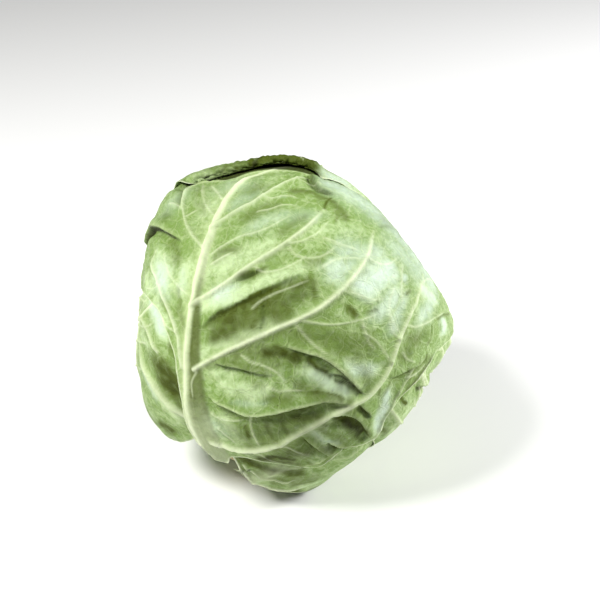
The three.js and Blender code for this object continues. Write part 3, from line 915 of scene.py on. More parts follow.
def front_pleats(leaf):
    """The folds pressed into the front leaf, from the deepest, and the dips between them."""
    # Across the middle: a lip with two slits beneath it
    leaf.pleat([(5, 0), (18, 2), (30, 3), (44, -1), (57, -7)],
               1.8, 1.0, left=3.5, right=3, edge=1.3, shade=0.0, line=0.9, lip=1.0, tuck=1.0,
               ends=(0.35, 0.06))
    leaf.pleat([(37, -3), (44, -3), (52, -6), (59, -9)],
               0.8, 1.2, left=2, right=2, edge=1.2, shade=0.0, line=1.0, lip=0.3, tuck=0.5,
               ends=(0.2, 0.04))
    leaf.pleat([(-21, -22), (-6, -18), (6, -16), (15, -12)],
               1.2, 1.4, left=4, right=4, edge=1.4, shade=0.3, line=0.75, lip=0.2, tuck=0.7,
               ends=(0.15, 0.5))
    leaf.pleat([(-20, -42), (-8, -42), (6, -41), (18, -34), (30, -25), (42, -18), (57, -16)],
               2.0, 1.6, left=6, right=6, edge=1.3, shade=0.5, line=0.5, lip=1.0, tuck=0.6,
               ends=(0.1, 0.12))
    leaf.pleat([(-38, -12), (-28, 4), (-15, 18), (-4, 31), (7, 42)],
               1.2, 1.0, left=6, right=10, edge=2.6, shade=0.0, lip=0.0, ends=(0.2, 0.2))
    leaf.pleat([(-9, 19), (-8, 13), (-5, 7), (-6, 1)][::-1], 0.8, 0.5, left=4, right=4, edge=1.4,
               shade=0.0, lip=0.0, ends=(0.3, 0.2))
    leaf.pleat([(-28, 21), (-21, 28), (-14, 35)], 0.8, 1.6, left=3, right=3,
               edge=1.5, shade=0.0, lip=0.0, ends=(0.2, 0.5))
    # Under the margin of the leaf above, at the top left
    leaf.pleat([(-121, 14), (-114, 26), (-100, 30), (-84, 30), (-67, 29)],
               2.4, 3.0, left=6, right=4.5, edge=1.5, shade=0.2, line=1.0, lip=0.5, tuck=1.4,
               ends=(0.05, 0.35))
    # At the lower right, where the leaf puckers round the two slits' ends
    leaf.pleat([(45, -26), (55, -23), (64, -25), (80, -39)], 1.4, 3.2,
               left=4, right=7, edge=1.3, shade=0.8, line=0.5, lip=0.4, tuck=0.8, ends=(0.2, 0.08))
    leaf.pleat([(59, -15), (63, -17), (67, -19), (72, -22)], 1.0, 1.8, left=3, right=2.4, edge=1.2,
               shade=0.8, line=0.6, lip=0.3, tuck=0.5, ends=(0.25, 0.2))
    leaf.pleat([(52, -44), (60, -46), (71, -48)], 1.0, 2.4, left=3,
               right=2.5, edge=1.2, shade=0.7, line=0.9, lip=0.9, tuck=0.6, ends=(0.2, 0.3))
    leaf.pleat([(36, -43), (49, -50), (61, -56)], 1.4, 2.6, left=4, right=4,
               edge=1.3, shade=0.8, line=0.4, lip=0.4, tuck=0.6, ends=(0.2, 0.15))
    leaf.pleat([(42, -72), (50, -66), (60, -58)], 1.0, 1.6, left=3, right=3,
               edge=1.2, shade=0.5, line=0.3, lip=0.7, tuck=0.5)
    # Towards the right-hand silhouette
    leaf.pleat([(95, 28), (93, 36), (91, 45)], 1.2, 1.4, left=4, right=2.6,
               edge=1.2, shade=0.7, line=0.4, lip=0.3, ends=(0.3, 0.2))
    leaf.pleat([(69, 2), (78, 8), (88, 15), (98, 23)], 1.4, 1.2, left=6,
               right=5, edge=1.8, shade=0.4, line=0.25, lip=0.1, ends=(0.25, 0.1))
    # Where the back leaf's fold presses on the crown
    leaf.pleat([(-27, 114), (-20, 105), (-10, 98), (2, 100)],
               1.4, 1.6, left=6, right=5, edge=1.6, shade=0.35, line=0.6, lip=0.1, tuck=0.6,
               ends=(0.15, 0.3))
    leaf.pleat([(-94, 64), (-92, 57), (-88, 50), (-86, 44)], 0.8, 2.0, left=3, right=4, edge=1.6,
               shade=0.7, line=0.3, lip=0.2, ends=(0.2, 0.3))
    leaf.swell([(-92, 24), (-80, 22), (-68, 17)], -1.4, 5.0)
    leaf.swell([(-78, 4), (-70, 0), (-62, -5)], 0.8, 5.0)
    leaf.swell([(50, 60), (46, 48), (40, 36)], 0.8, 9.0)
    leaf.swell([(24, -7), (34, -8), (46, -10)], 0.8, 3.5)
    leaf.swell([(-14, -33), (-2, -29), (12, -23)], 0.9, 4.5)
    leaf.swell([(8, -42), (14, -50), (20, -57)], -1.0, 4.0)
    leaf.swell([(3, -46), (9, -53), (15, -60)], -0.7, 2.4)
    leaf.swell([(21, -35), (26, -41), (30, -47)], -0.8, 3.0)


def front_colours(leaf):
    """The front leaf's painted light, painted shade, painted crease shadows and painted sheen."""
    # Painted shade in the leaf's hollows, below its side veins and under its folds
    deep = (
        # curve, fade to its left and right, amount
        ([(-38, -14), (-28, 3), (-15, 17), (-4, 29), (6, 38)], 0.8, 18.0, 0.95),
        ([(-30, -16), (-22, -6), (-12, 4), (-2, 15), (8, 26)], 7.0, 6.0, 0.75),
        ([(-4, 6), (2, 14), (10, 22)], 6.0, 5.0, 0.75),
        ([(-25, -7), (-20, 0), (-15, 2)], 5.0, 4.5, 0.62),
        ([(-20, 4), (-15, 9), (-11, 13)], 4.0, 3.0, 0.5),
        ([(-1, 28), (5, 32), (10, 36.5), (13, 31), (15, 27)], 3.4, 3.4, 0.72),
        ([(0, 22), (6, 26), (12, 29)], 5.0, 5.0, 0.55),
        ([(-28, 22), (-21, 28), (-14, 35)], 1.2, 3.0, 0.72),
        ([(-26, 23), (-22, 27)], 0.8, 2.0, 0.9),
        ([(-45, 25), (-40, 32), (-33, 38)], 3.0, 3.0, 0.55),
        ([(-28, -28), (-16, -14), (-2, 0), (12, 14)], 0.5, 3.6, 0.45),
        ([(-15, -17), (0, -6), (18, 0)], 3.6, 4.5, 0.55),
        ([(2, -2), (10, -1), (20, 0)], 1.6, 2.4, 0.8),
        ([(-10, -13), (3, -10), (16, -8)], 3.4, 3.4, 0.45),
        ([(21, 0), (29, -2), (37, -4)], 1.5, 1.7, 0.85),
        ([(6, 4), (16, 9), (26, 12), (38, 14), (48, 17), (60, 20)], 8.0, 7.0, 0.42),
        ([(20, 18), (28, 15), (38, 18), (46, 21)], 4.0, 4.0, 0.35),
        ([(28, -17), (34, -15.5), (40, -14), (48, -14), (52, -15)], 1.0, 2.6, 0.75),
        ([(22, -13), (30, -17), (40, -16), (48, -15)], 4.0, 4.0, 0.5),
        ([(2, -20), (5, -23.5), (6, -19)], 2.4, 2.4, 0.4),
        ([(10, -30), (18, -26), (26, -21)], 3.0, 3.0, 0.45),
        ([(8, -42), (20, -34), (31, -25), (42, -20)], 0.8, 7.0, 0.75),
        ([(4, -48), (8, -54), (13.5, -60)], 2.6, 1.6, 0.85),
        ([(15, -42), (19, -48), (23, -54)], 3.0, 2.4, 0.7),
        ([(22, -38), (26, -42), (30, -47)], 2.4, 2.4, 0.7),
        ([(-14, -44), (-4, -46), (4, -46)], 1.0, 4.0, 0.4),
        ([(40, -21), (46, -20), (52, -20), (58, -18)], 2.2, 2.2, 0.5),
        ([(46, -27), (64, -29), (79, -39)], 2.4, 4.5, 1.0),
        ([(60, -17), (65, -19), (71, -22)], 0.8, 2.6, 0.9),
        ([(62, -22), (68, -24), (74, -28)], 2.0, 2.0, 0.4),
        ([(18, -75), (26, -70), (33.5, -66), (41, -66)], 3.0, 3.0, 1.0),
        ([(38, -46), (46.5, -50), (56, -55)], 1.0, 3.0, 0.9),
        ([(42, -36), (52, -38), (62, -39)], 2.4, 2.4, 0.4),
        ([(54, -47), (59, -48), (63, -50)], 0.8, 2.2, 1.0),
        ([(38, -60), (48, -64), (56, -66)], 2.0, 2.0, 0.5),
        ([(46, -71), (52, -68), (58, -63)], 0.8, 2.2, 0.6),
        ([(30, 33), (36, 31), (42, 29)], 1.4, 3.6, 0.95),
        ([(42, 31), (46, 35), (50, 40)], 1.0, 2.6, 0.5),
        ([(64, 52), (66, 57)], 1.4, 1.4, 0.6),
        ([(70, 42), (71, 34), (72, 26)], 0.4, 3.0, 0.35),
        ([(72, 26), (78, 28), (88, 36)], 5.0, 5.0, 0.5),
        ([(70, 14), (78, 20), (86, 24)], 5.0, 4.0, 0.5),
        ([(78, 8), (86, 12), (94, 19), (100, 27)], 1.2, 4.5, 0.7),
        ([(84, 2), (88, 9), (94, 18)], 3.0, 3.0, 0.6),
        ([(98, 50), (109, 58), (120, 61)], 0.8, 1.8, 0.6),
        ([(92, 44), (93.5, 36), (95, 28)], 2.6, 1.0, 0.7),
        ([(75, 2), (74, -3), (73, -8)], 1.5, 1.5, 0.5),
        ([(90, -4), (86, -14), (85, -26)], 1.6, 1.6, 0.5),
        ([(44, 0), (50, -1), (56, -4)], 1.6, 1.6, 0.3),
        ([(66, -4), (70, -8)], 1.4, 1.4, 0.6),
        ([(88, -6), (95, 3), (103, 14), (109, 24)], 5.0, 5.0, 0.7),
        ([(-6, -56), (14, -56), (34, -50), (50, -42)], 9.0, 9.0, 0.5),
        ([(6, -66), (22, -60), (36, -52)], 5.0, 5.0, 0.55),
        ([(20, -72), (34, -70), (48, -68)], 5.0, 5.0, 0.7),
        ([(-18, -18), (-6, -16), (8, -14)], 3.0, 3.0, 0.5),
        ([(-2, -8), (10, -3), (22, -1)], 4.0, 4.0, 0.8),
        ([(50, -12), (56, -18), (64, -24)], 3.0, 3.0, 0.5),
        ([(58, -30), (68, -36), (76, -41)], 4.0, 4.0, 0.6),
        ([(58, -50), (62, -60), (58, -70)], 5.0, 5.0, 0.5),
        ([(-16, -10), (0, -6), (16, -4)], 6.0, 6.0, 0.5),
        ([(22, -36), (34, -32), (46, -28)], 5.0, 5.0, 0.7),
        ([(52, -36), (62, -44), (70, -46)], 5.0, 5.0, 0.5),
        ([(30, -62), (42, -57), (54, -50)], 6.0, 6.0, 0.7),
        ([(50, 6), (58, -2), (62, -8)], 4.0, 4.0, 0.4),
        ([(16, 10), (34, 10), (54, 12)], 6.0, 6.0, 0.4),
        ([(-58, 8), (-53, -2), (-50, -12)], 0.8, 3.0, 0.4),
        # the crown
        ([(-54, 67), (-48, 77), (-41, 88)], 7.0, 5.0, 0.38),
        ([(-45, 51), (-36, 63), (-24, 77)], 4.0, 6.0, 0.36),
        ([(-30, 84), (-15, 91), (2, 89), (16, 78)], 2.6, 3.6, 0.62),
        ([(-14, 90), (-8, 88), (-4, 88)], 2.6, 2.6, 0.5),
        ([(-1.5, 80.5), (-2, 87), (-3, 95)], 0.9, 0.9, 0.95),
        ([(4, 84), (8, 79), (9, 74)], 1.0, 1.0, 0.5),
        ([(-90, 66), (-82, 62), (-74, 58)], 8.0, 8.0, 0.3),
        ([(-80, 54), (-72, 52), (-64, 50)], 6.0, 6.0, 0.3),
        ([(-95, 56), (-91, 51), (-87, 46)], 1.6, 4.0, 0.6),
        ([(-88, 28), (-76, 23), (-64, 13)], 4.0, 4.0, 0.42),
        ([(-104, 40), (-96, 38), (-88, 36)], 5.0, 4.0, 0.4),
        ([(-55, -3), (-49, -9), (-44, -16)], 2.4, 2.4, 0.4),
        ([(-72, -6), (-62, -9), (-54, -14)], 2.4, 1.6, 0.3),
        ([(10, 52), (6, 46), (2, 42)], 4.0, 4.0, 0.35),
        ([(-8, 72), (-14, 60), (-18, 52)], 3.0, 3.0, 0.35),
        ([(34, 88), (38, 94), (46, 100)], 2.0, 2.0, 0.4),
        ([(30, 102), (50, 102), (70, 98), (88, 88)], 6.0, 6.0, 0.3),
    )
    # Painted shade along its creases
    crease = (
        ([(55, -28), (62, -30), (69, -33.5), (77, -38)], 1.4, 3.0, 0.8),
        ([(61, -17), (65, -19), (70, -22)], 0.6, 1.6, 0.6),
        ([(19, -74), (30, -66), (41, -65)], 1.6, 2.0, 0.6),
        ([(55, -47), (59, -48), (62, -49.5)], 0.6, 1.4, 0.7),
        ([(43, -49.5), (49, -52), (55, -55)], 0.8, 1.8, 0.5),
        ([(17, -44), (20.5, -49), (23, -53)], 1.6, 1.2, 0.3),
        ([(16, -38), (24, -32), (32, -26.5)], 0.6, 2.4, 0.35),
        ([(54, -7.5), (57, -9), (59, -10)], 1.4, 1.4, 0.9),
        ([(14, 0), (20, 1), (27, 1)], 0.6, 1.6, 0.45),
        ([(27, 0), (33, 0), (38, -2)], 0.8, 1.2, 0.5),
        ([(-14, -21), (-9.5, -20), (-4, -19)], 0.9, 0.9, 0.6),
        ([(-26, 24), (-22, 27), (-19, 30)], 0.6, 1.0, 0.3),
        ([(-26, 112), (-22, 107), (-18, 103)], 1.0, 1.0, 0.6),
        ([(10, -50), (24, -44), (40, -36), (50, -30)], 5.0, 5.0, 0.4),
        ([(20, -1), (30, -3), (40, -5)], 0.9, 2.0, 0.6),
        ([(40, -5), (50, -7), (59, -11)], 0.8, 1.2, 0.8),
        ([(46, -46), (54, -49), (62, -53)], 1.2, 3.5, 0.45),
        ([(24, -66), (38, -61), (52, -55)], 5.0, 4.0, 0.42),
        ([(60, -24), (68, -32), (78, -40)], 5.0, 4.0, 0.3),
        ([(-1, -6), (10, -3), (22, -2)], 3.0, 3.0, 0.4),
        ([(12, -46), (22, -40), (32, -33), (42, -26)], 2.0, 3.5, 0.4),
        ([(8, -72), (24, -72), (40, -70)], 3.0, 3.0, 0.35),
        ([(92, 0), (100, 12), (107, 24)], 3.0, 3.0, 0.3),
        ([(-30, -14), (-22, -4), (-12, 6)], 7.0, 6.0, 0.22),
        ([(0, 20), (6, 27), (11, 32)], 4.0, 4.0, 0.35),
        ([(-36, -10), (-26, 6), (-11, 20)], 0.6, 3.0, 0.25),
    )
    # Painted light on the lamina
    light = (
        ([(-50, 16), (-44, 22), (-34, 30), (-24, 40), (-16, 52)], 6.0, 6.0, 0.8),
        ([(-40, 40), (-30, 56), (-20, 66)], 5.0, 5.0, 0.4),
        ([(-44, -2), (-36, 4), (-29, 10), (-22, 16), (-14, 24), (-4, 34), (6, 44)], 4.0, 4.0, 1.0),
        ([(-30, -26), (-25, -17), (-18, -10), (-11, -4), (-3, 4), (6, 13)], 4.5, 1.6, 1.0),
        ([(-24, -17), (-16, -9), (-8, -2)], 4.5, 2.0, 1.0),
        ([(-58, 26), (-58, 14), (-55, 4), (-50, -4)], 5.0, 7.0, 0.9),
        ([(-80, 5), (-73, 2), (-66, -2)], 7.0, 7.0, 0.8),
        ([(-94, 20), (-84, 12), (-72, 6), (-60, 0)], 8.0, 8.0, 0.9),
        ([(-100, 0), (-88, -5), (-76, -8)], 6.0, 6.0, 0.8),
        ([(-72, 40), (-66, 52), (-64, 66)], 6.0, 5.0, 0.5),
        ([(-76, -9), (-64, -13), (-54, -18)], 4.0, 4.0, 0.9),
        ([(-58, 34), (-64, 48), (-66, 60)], 5.0, 4.0, 0.35),
        ([(-18, -34), (-8, -30), (4, -27), (14, -22)], 4.0, 5.0, 1.0),
        ([(-22, -30), (-14, -26), (-4, -22)], 4.0, 4.0, 0.6),
        ([(23, -6), (31, -7.5), (41, -9), (52, -12)], 4.5, 4.5, 1.0),
        ([(-20, -50), (-14, -60), (-6, -68)], 6.0, 6.0, 0.9),
        ([(-10, -48), (-3, -54), (5, -62)], 5.0, 5.0, 0.9),
        ([(8, -52), (18, -60)], 2.6, 2.6, 0.6),
        ([(30, 34), (36, 45), (44.5, 58), (50, 74)], 11.0, 9.0, 1.0),
        ([(46, 28), (54, 40), (58, 54)], 6.0, 6.0, 0.7),
        ([(12, 45), (19, 48), (26, 47)], 6.0, 6.0, 0.8),
        ([(-4, 60), (6, 68), (16, 76), (26, 80)], 8.0, 8.0, 0.5),
        ([(40, 6), (50, 4), (58, 4), (64, 10)], 3.5, 3.5, 0.75),
        ([(76, 0), (77, -18), (81, -34)], 3.4, 3.4, 0.95),
        ([(72, 64), (85, 64), (99, 63)], 6.0, 6.0, 0.9),
        ([(105, 53), (113, 48), (111, 42)], 4.0, 4.0, 0.9),
        ([(84, 34), (82, 42), (84, 50)], 3.0, 3.0, 0.5),
        ([(40, -39), (50, -43), (60, -44)], 2.0, 2.0, 0.5),
        ([(40, -57), (49, -60), (58, -61)], 2.2, 2.2, 0.45),
        ([(-2, 100), (8, 104), (20, 106), (34, 104)], 4.0, 4.0, 0.6),
        ([(14, -12), (20, -20), (28, -22)], 2.0, 2.0, 0.3),
    )
    # Painted sheen: highlights painted on the lamina
    bloom = (
        ([(-34, 7), (-30, 12), (-25, 18)], 3.6, 3.6, 1.0),
        ([(-86, 10), (-76, 4), (-66, -3)], 7.0, 7.0, 1.0),
        ([(-56, 56), (-50, 66), (-44, 78)], 6.0, 6.0, 0.35),
        ([(30, 36), (37, 46), (46, 59), (52, 74)], 9.0, 8.0, 1.0),
        ([(47, 30), (54, 42), (58, 56)], 5.0, 5.0, 0.7),
        ([(12, 46), (19, 49), (26, 47)], 5.0, 5.0, 0.7),
        ([(25, -6), (32, -7.5), (41, -9), (52, -12)], 3.6, 3.6, 0.5),
        ([(44, 3), (52, 3), (60, 7)], 3.4, 3.4, 0.7),
        ([(105, 53), (112, 48), (110, 42)], 4.0, 4.0, 1.0),
        ([(-26, 104), (-4, 108), (24, 104), (54, 96), (84, 80), (104, 62)], 15.0, 11.0, 0.75),
        ([(40, 84), (62, 78), (84, 70)], 10.0, 10.0, 0.6),
        ([(8, 54), (20, 60), (34, 64), (44, 78)], 9.0, 8.0, 0.6),
        ([(24, 40), (20, 48), (28, 56)], 6.0, 6.0, 0.8),
        ([(60, 26), (62, 40), (64, 54)], 4.0, 4.0, 0.6),
        ([(80, 40), (88, 56), (94, 66)], 6.0, 6.0, 0.7),
        ([(-100, 36), (-96, 46), (-88, 60)], 7.0, 7.0, 0.35),
        ([(-72, 66), (-62, 74), (-52, 84)], 8.0, 8.0, 0.35),
        ([(-36, 48), (-26, 60), (-16, 70)], 5.0, 5.0, 0.35),
        ([(74, 64), (84, 64), (99, 63)], 4.0, 4.0, 0.8),
        ([(58, 65), (62, 61)], 3.0, 3.0, 0.9),
        ([(75, -4), (77, -14), (80, -32)], 3.0, 3.0, 0.9),
        ([(-20, 62), (-10, 70), (0, 76)], 5.0, 5.0, 0.3),
        ([(-60, 16), (-57, 8), (-54, 2)], 3.0, 3.0, 0.4),
        ([(40, -40), (50, -43), (60, -44)], 2.0, 2.0, 0.5),
        ([(-16, -54), (-8, -60), (0, -66)], 5.0, 5.0, 0.3),
        ([(-4, -38), (6, -34), (14, -30)], 1.6, 1.6, 0.3),
    )
    kinds = {"deep": deep, "crease": crease, "light": light, "bloom": bloom}
    for mask, strokes in kinds.items():
        leaf.tints((mask, *stroke) for stroke in strokes)


def right_leaf(settings):
    """The leaf beneath the front one at the right."""
    leaf = Leaf("right_leaf", (90, 147.5), RIGHT_OUTLINE, settings.cells, 37)
    leaf.foot = (0, -116)
    tall = settings.vein_height / MM
    leaf.waves(40, 1.2)
    leaf.waves(16, 0.5, stretch=2.0, heading=100)
    leaf.waves(7, 0.14)
    plain_veins(leaf, settings, lean=-5.0)
    leaf.rib_vein([(-90, -14), (-80, -19), (-68, -23), (-58, -25)], (2.6, 1.6), (tall, 0.7 * tall),
                  tent=1.5, colour=0.8)
    leaf.pleat([(-70, 0), (-64, 2), (-58, 3.5), (-54, 6)], 1.6, 2.0, left=3, right=3, edge=1.4,
               shade=0.8, line=0.6, lip=0.4, tuck=0.6)
    # Painted light and painted shade
    leaf.tint("light", [(-74, -30), (-64, -31), (-54, -30)], 6.0, 6.0, 0.7)
    leaf.tint("light", [(-70, -12), (-62, -14), (-52, -12)], 6.0, 6.0, 0.8)
    leaf.tint("deep", [(-82, -7), (-77, -10), (-72, -12)], 1.4, 1.4, 1.0)
    leaf.tint("deep", [(-78, -34), (-72, -32), (-66, -33)], 3.0, 3.0, 0.7)
    leaf.level(0.6)
    leaf.swell([(-92, -28), (-76, -40), (-58, -46), (-44, -58), (-32, -76)], -1.4, 6.0)
    leaf.margin_waves(0.8, 18, 5)
    return leaf


def left_leaf(settings):
    """The leaf beneath the front one at the lower left."""
    leaf = Leaf("left_leaf", (90, -75), LEFT_OUTLINE, settings.cells, 41)
    leaf.foot = (0, -116)
    tall = settings.vein_height / MM
    leaf.waves(36, 1.0)
    leaf.waves(14, 0.4, stretch=2.4, heading=60)
    leaf.waves(7, 0.14)
    plain_veins(leaf, settings, lean=5.0)
    leaf.rib_vein([(20, -112), (44, -114), (64, -109), (78, -100), (82, -86), (74, -68), (62, -52),
                   (60, -40)],
                  (3.6, 4.5), (1.4 * tall, 1.5 * tall), tent=2.0, colour=0.9, reach=(7, 4))
    leaf.rib_vein([(87, -43), (80, -34), (69, -27), (60, -22)],
                  (2.6, 2.2), (1.0 * tall, 0.8 * tall), tent=1.4, colour=0.85, reach=(6, 5))
    leaf.rib_vein([(76, -100), (81, -84), (75, -62)], (1.2, 0.9),
                  (0.4 * tall, 0.3 * tall), colour=0.5)
    # Painted shade, painted crease shadow, painted light and painted sheen, and a pale stroke
    leaf.tints((
        ("deep", [(76, -50), (84, -53), (92, -58), (96, -66), (95, -76), (90, -86)], 9.0, 9.0, 1.0),
        ("deep", [(84, -46), (92, -48), (100, -50)], 3.0, 6.0, 0.75),
        ("deep", [(80, -56), (86, -66), (92, -78)], 8.0, 8.0, 1.0),
        ("crease", [(82, -54), (89, -66), (92, -78)], 8.0, 8.0, 0.45),
        ("deep", [(88, -76), (84, -86), (80, -96)], 2.6, 2.6, 0.6),
        ("deep", [(98, -34), (101, -42), (103, -52)], 3.0, 3.0, 0.5),
        ("deep", [(44, -90), (51, -94), (56, -98)], 4.5, 4.5, 0.9),
        ("deep", [(38, -78), (40, -86), (44, -94)], 2.0, 2.0, 0.5),
        ("light", [(62, -62), (68, -72), (72, -82), (70, -92)], 5.0, 5.0, 0.9),
        ("light", [(56, -12), (70, -16), (82, -20), (91, -28), (94, -36)], 5.0, 5.0, 0.9),
        ("light", [(62, -34), (70, -40), (76, -46)], 4.0, 4.0, 0.8),
        ("bloom", [(72, -15), (82, -19), (89, -25), (92, -32)], 4.0, 4.0, 1.0),
        ("bloom", [(54, -50), (58, -62), (66, -76)], 4.0, 4.0, 0.6),
        ("pale", [(58, -56), (64, -68), (72, -80), (72, -94)], 4.0, 4.0, 0.6),
    ))
    leaf.swell([(84, -52), (91, -62), (88, -76)], -1.6, 5.0)
    leaf.level(1.0)
    leaf.swell([(34, -96), (44, -100), (54, -102)], 1.0, 6.0)
    leaf.swell([(60, -108), (72, -106), (84, -100)], -2.0, 6.0)
    leaf.margin_waves(0.8, 18, 5)
    return leaf


def lower_leaf(settings):
    """The leaf whose margin shows below the front one's."""
    leaf = Leaf("lower_leaf", (90, 62.5), LOWER_OUTLINE, settings.cells, 53)
    leaf.foot = (2, -116)
    tall = settings.vein_height / MM
    leaf.waves(34, 1.2)
    leaf.waves(12, 0.5, stretch=2.2, heading=20)
    leaf.waves(7, 0.14)
    plain_veins(leaf, settings, lean=3.0)
    leaf.masks["vein"] *= 0.25
    leaf.masks["pale"] *= 0.3
    leaf.rib *= 0.4
    leaf.rib_vein([(-34, -80), (-22, -90), (-8, -99), (6, -104), (17, -100), (32, -86)],
                  (1.8, 1.4), (0.8 * tall, 0.6 * tall), tent=1.4, colour=0.8, reach=(4, 4))
    leaf.rib_vein([(-14, -90), (0, -92), (12, -90), (20, -84)],
                  (1.4, 1.2), (0.6 * tall, 0.5 * tall), tent=1.6, colour=0.6, reach=(4, 3))
    # Painted shade and painted crease shadow where it lies under the front leaf's margin, and painted
    # light
    leaf.tints((
        ("deep", [(-32, -83), (-20, -86), (-12, -85), (-1.5, -84), (7, -81), (16, -78), (24, -74)],
         5.0, 3.0, 0.95),
        ("deep", [(-24, -88), (-12, -92), (0, -96)], 2.4, 2.4, 0.7),
        ("crease", [(-26, -84), (-14, -84), (-2, -82), (8, -78), (18, -76)], 2.0, 1.2, 0.45),
        ("deep", [(2, -94), (8, -93), (14, -92)], 2.0, 2.0, 0.95),
        ("deep", [(10, -84), (18, -81), (26, -76)], 2.0, 2.0, 0.6),
        ("deep", [(20, -90), (28, -84), (34, -78)], 2.4, 2.4, 0.6),
        ("deep", [(10, -98), (14, -95), (20, -92)], 2.0, 2.0, 0.5),
        ("deep", [(4, -112), (14, -106), (22, -99), (30, -95), (36, -90)], 3.0, 5.0, 1.0),
        ("deep", [(-22, -92), (-10, -100), (4, -108)], 7.0, 7.0, 0.9),
        ("deep", [(-10, -92), (6, -90), (20, -84), (34, -76)], 6.0, 6.0, 0.6),
        ("light", [(-18, -94), (-10, -97.5), (0, -100)], 1.6, 1.6, 0.6),
        ("light", [(26, -90), (34, -84), (42, -80)], 2.0, 2.0, 0.6),
    ))
    leaf.level(0.4)
    leaf.margin_waves(1.0, 16, 4)
    return leaf


def rear_leaf(settings):
    """The leaf beneath the back one."""
    leaf = Leaf("rear_leaf", (90, -160), REAR_OUTLINE, settings.cells, 67)
    leaf.foot = (0, -116)
    leaf.waves(40, 1.2)
    leaf.waves(15, 0.45, stretch=2.0, heading=85)
    leaf.waves(7, 0.14)
    plain_veins(leaf, settings, lean=-3.0)
    leaf.level(0.4)
    leaf.margin_waves(0.8, 18, 5)
    return leaf


LEAF_MAKERS = (back_leaf, front_leaf, right_leaf, left_leaf, lower_leaf, rear_leaf)


class Wire:
    """A socket of a material's nodes, which Python's operators work on."""

    def __init__(self, paint, socket):
        self.paint = paint
        self.socket = socket

    def maths(self, operation, *values):
        return self.paint.node("ShaderNodeMath", {"operation": operation}, dict(enumerate(values)))

    def __add__(self, other):
        return self.maths("ADD", self, other)

    def __radd__(self, other):
        return self.maths("ADD", other, self)

    def __sub__(self, other):
        return self.maths("SUBTRACT", self, other)

    def __rsub__(self, other):
        return self.maths("SUBTRACT", other, self)

    def __mul__(self, other):
        return self.maths("MULTIPLY", self, other)

    def __rmul__(self, other):
        return self.maths("MULTIPLY", other, self)

    def maths_of(self, operation):
        """The wire through a function of one number."""
        return self.maths(operation, self)

    def clamped(self):
        return self.paint.node(
            "ShaderNodeClamp", {}, {"Value": self, "Min": 0.0, "Max": 1.0}
        )

    def ramped(self, low, high, start=0.0, end=1.0):
        """Runs smoothly from start to end while the value runs from low to high."""
        settings = {"interpolation_type": "SMOOTHSTEP", "clamp": True}
        values = {"Value": self, "From Min": low, "From Max": high, "To Min": start, "To Max": end}
        return self.paint.node("ShaderNodeMapRange", settings, values)


class Paint:
    """A material and its nodes."""

    def __init__(self, name):
        self.material = bpy.data.materials.new(name)
        self.material.use_nodes = True
        self.tree = self.material.node_tree
        self.surface = self.tree.nodes["Principled BSDF"]

    def node(self, kind, settings, inputs, output=0):
        """Any node: its settings are set first, then its sockets' values and links."""
        made = self.tree.nodes.new(kind)
        for key, value in settings.items():
            setattr(made, key, value)
        for key, value in inputs.items():
            socket = made.inputs[key]
            if isinstance(value, Wire):
                self.tree.links.new(value.socket, socket)
            else:
                socket.default_value = value
        return Wire(self, made.outputs[output])

    def layer(self, name, output="Fac"):
        return self.node("ShaderNodeAttribute", {"attribute_name": name}, {}, output)

    def mix(self, share, first, second):
        """Two colours mixed by a share, each a wire or red, green and blue."""
        sockets = {0: share, 6: self.colour(first), 7: self.colour(second)}
        return self.node("ShaderNodeMix", {"data_type": "RGBA"}, sockets, 2)

    def colour(self, value):
        return value if isinstance(value, Wire) else (*value, 1.0)

    def noise(self, vector, scale, detail=2.0, roughness=0.5, output="Fac"):
        inputs = {"Vector": vector, "Scale": scale, "Detail": detail, "Roughness": roughness}
        return self.node("ShaderNodeTexNoise", {}, inputs, output)

    def cells(self, vector, scale, feature="DISTANCE_TO_EDGE"):
        return self.node(
            "ShaderNodeTexVoronoi", {"feature": feature},
            {"Vector": vector, "Scale": scale, "Randomness": 1.0}, "Distance",
        )

    def shifted(self, vector, by, amount):
        """A vector moved by a noise colour times an amount."""
        centred = self.node(
            "ShaderNodeVectorMath", {"operation": "SUBTRACT"}, {0: by, 1: (0.5, 0.5, 0.5)}, "Vector"
        )
        scaled = self.node(
            "ShaderNodeVectorMath", {"operation": "SCALE"}, {0: centred, "Scale": amount}, "Vector"
        )
        return self.node("ShaderNodeVectorMath", {"operation": "ADD"}, {0: vector, 1: scaled}, "Vector")

    def finish(self, colour, roughness, height, bump_distance, **constants):
        """Feeds the surface: colour, roughness and bump by links, the rest as plain values."""
        bump = self.node(
            "ShaderNodeBump", {}, {"Height": height, "Distance": bump_distance, "Strength": 1.0},
            "Normal",
        )
        for key, value in (("Base Color", colour), ("Roughness", roughness), ("Normal", bump)):
            self.tree.links.new(value.socket, self.surface.inputs[key])
        for key, value in constants.items():
            self.surface.inputs[key.replace("_", " ")].default_value = value
        return self.material


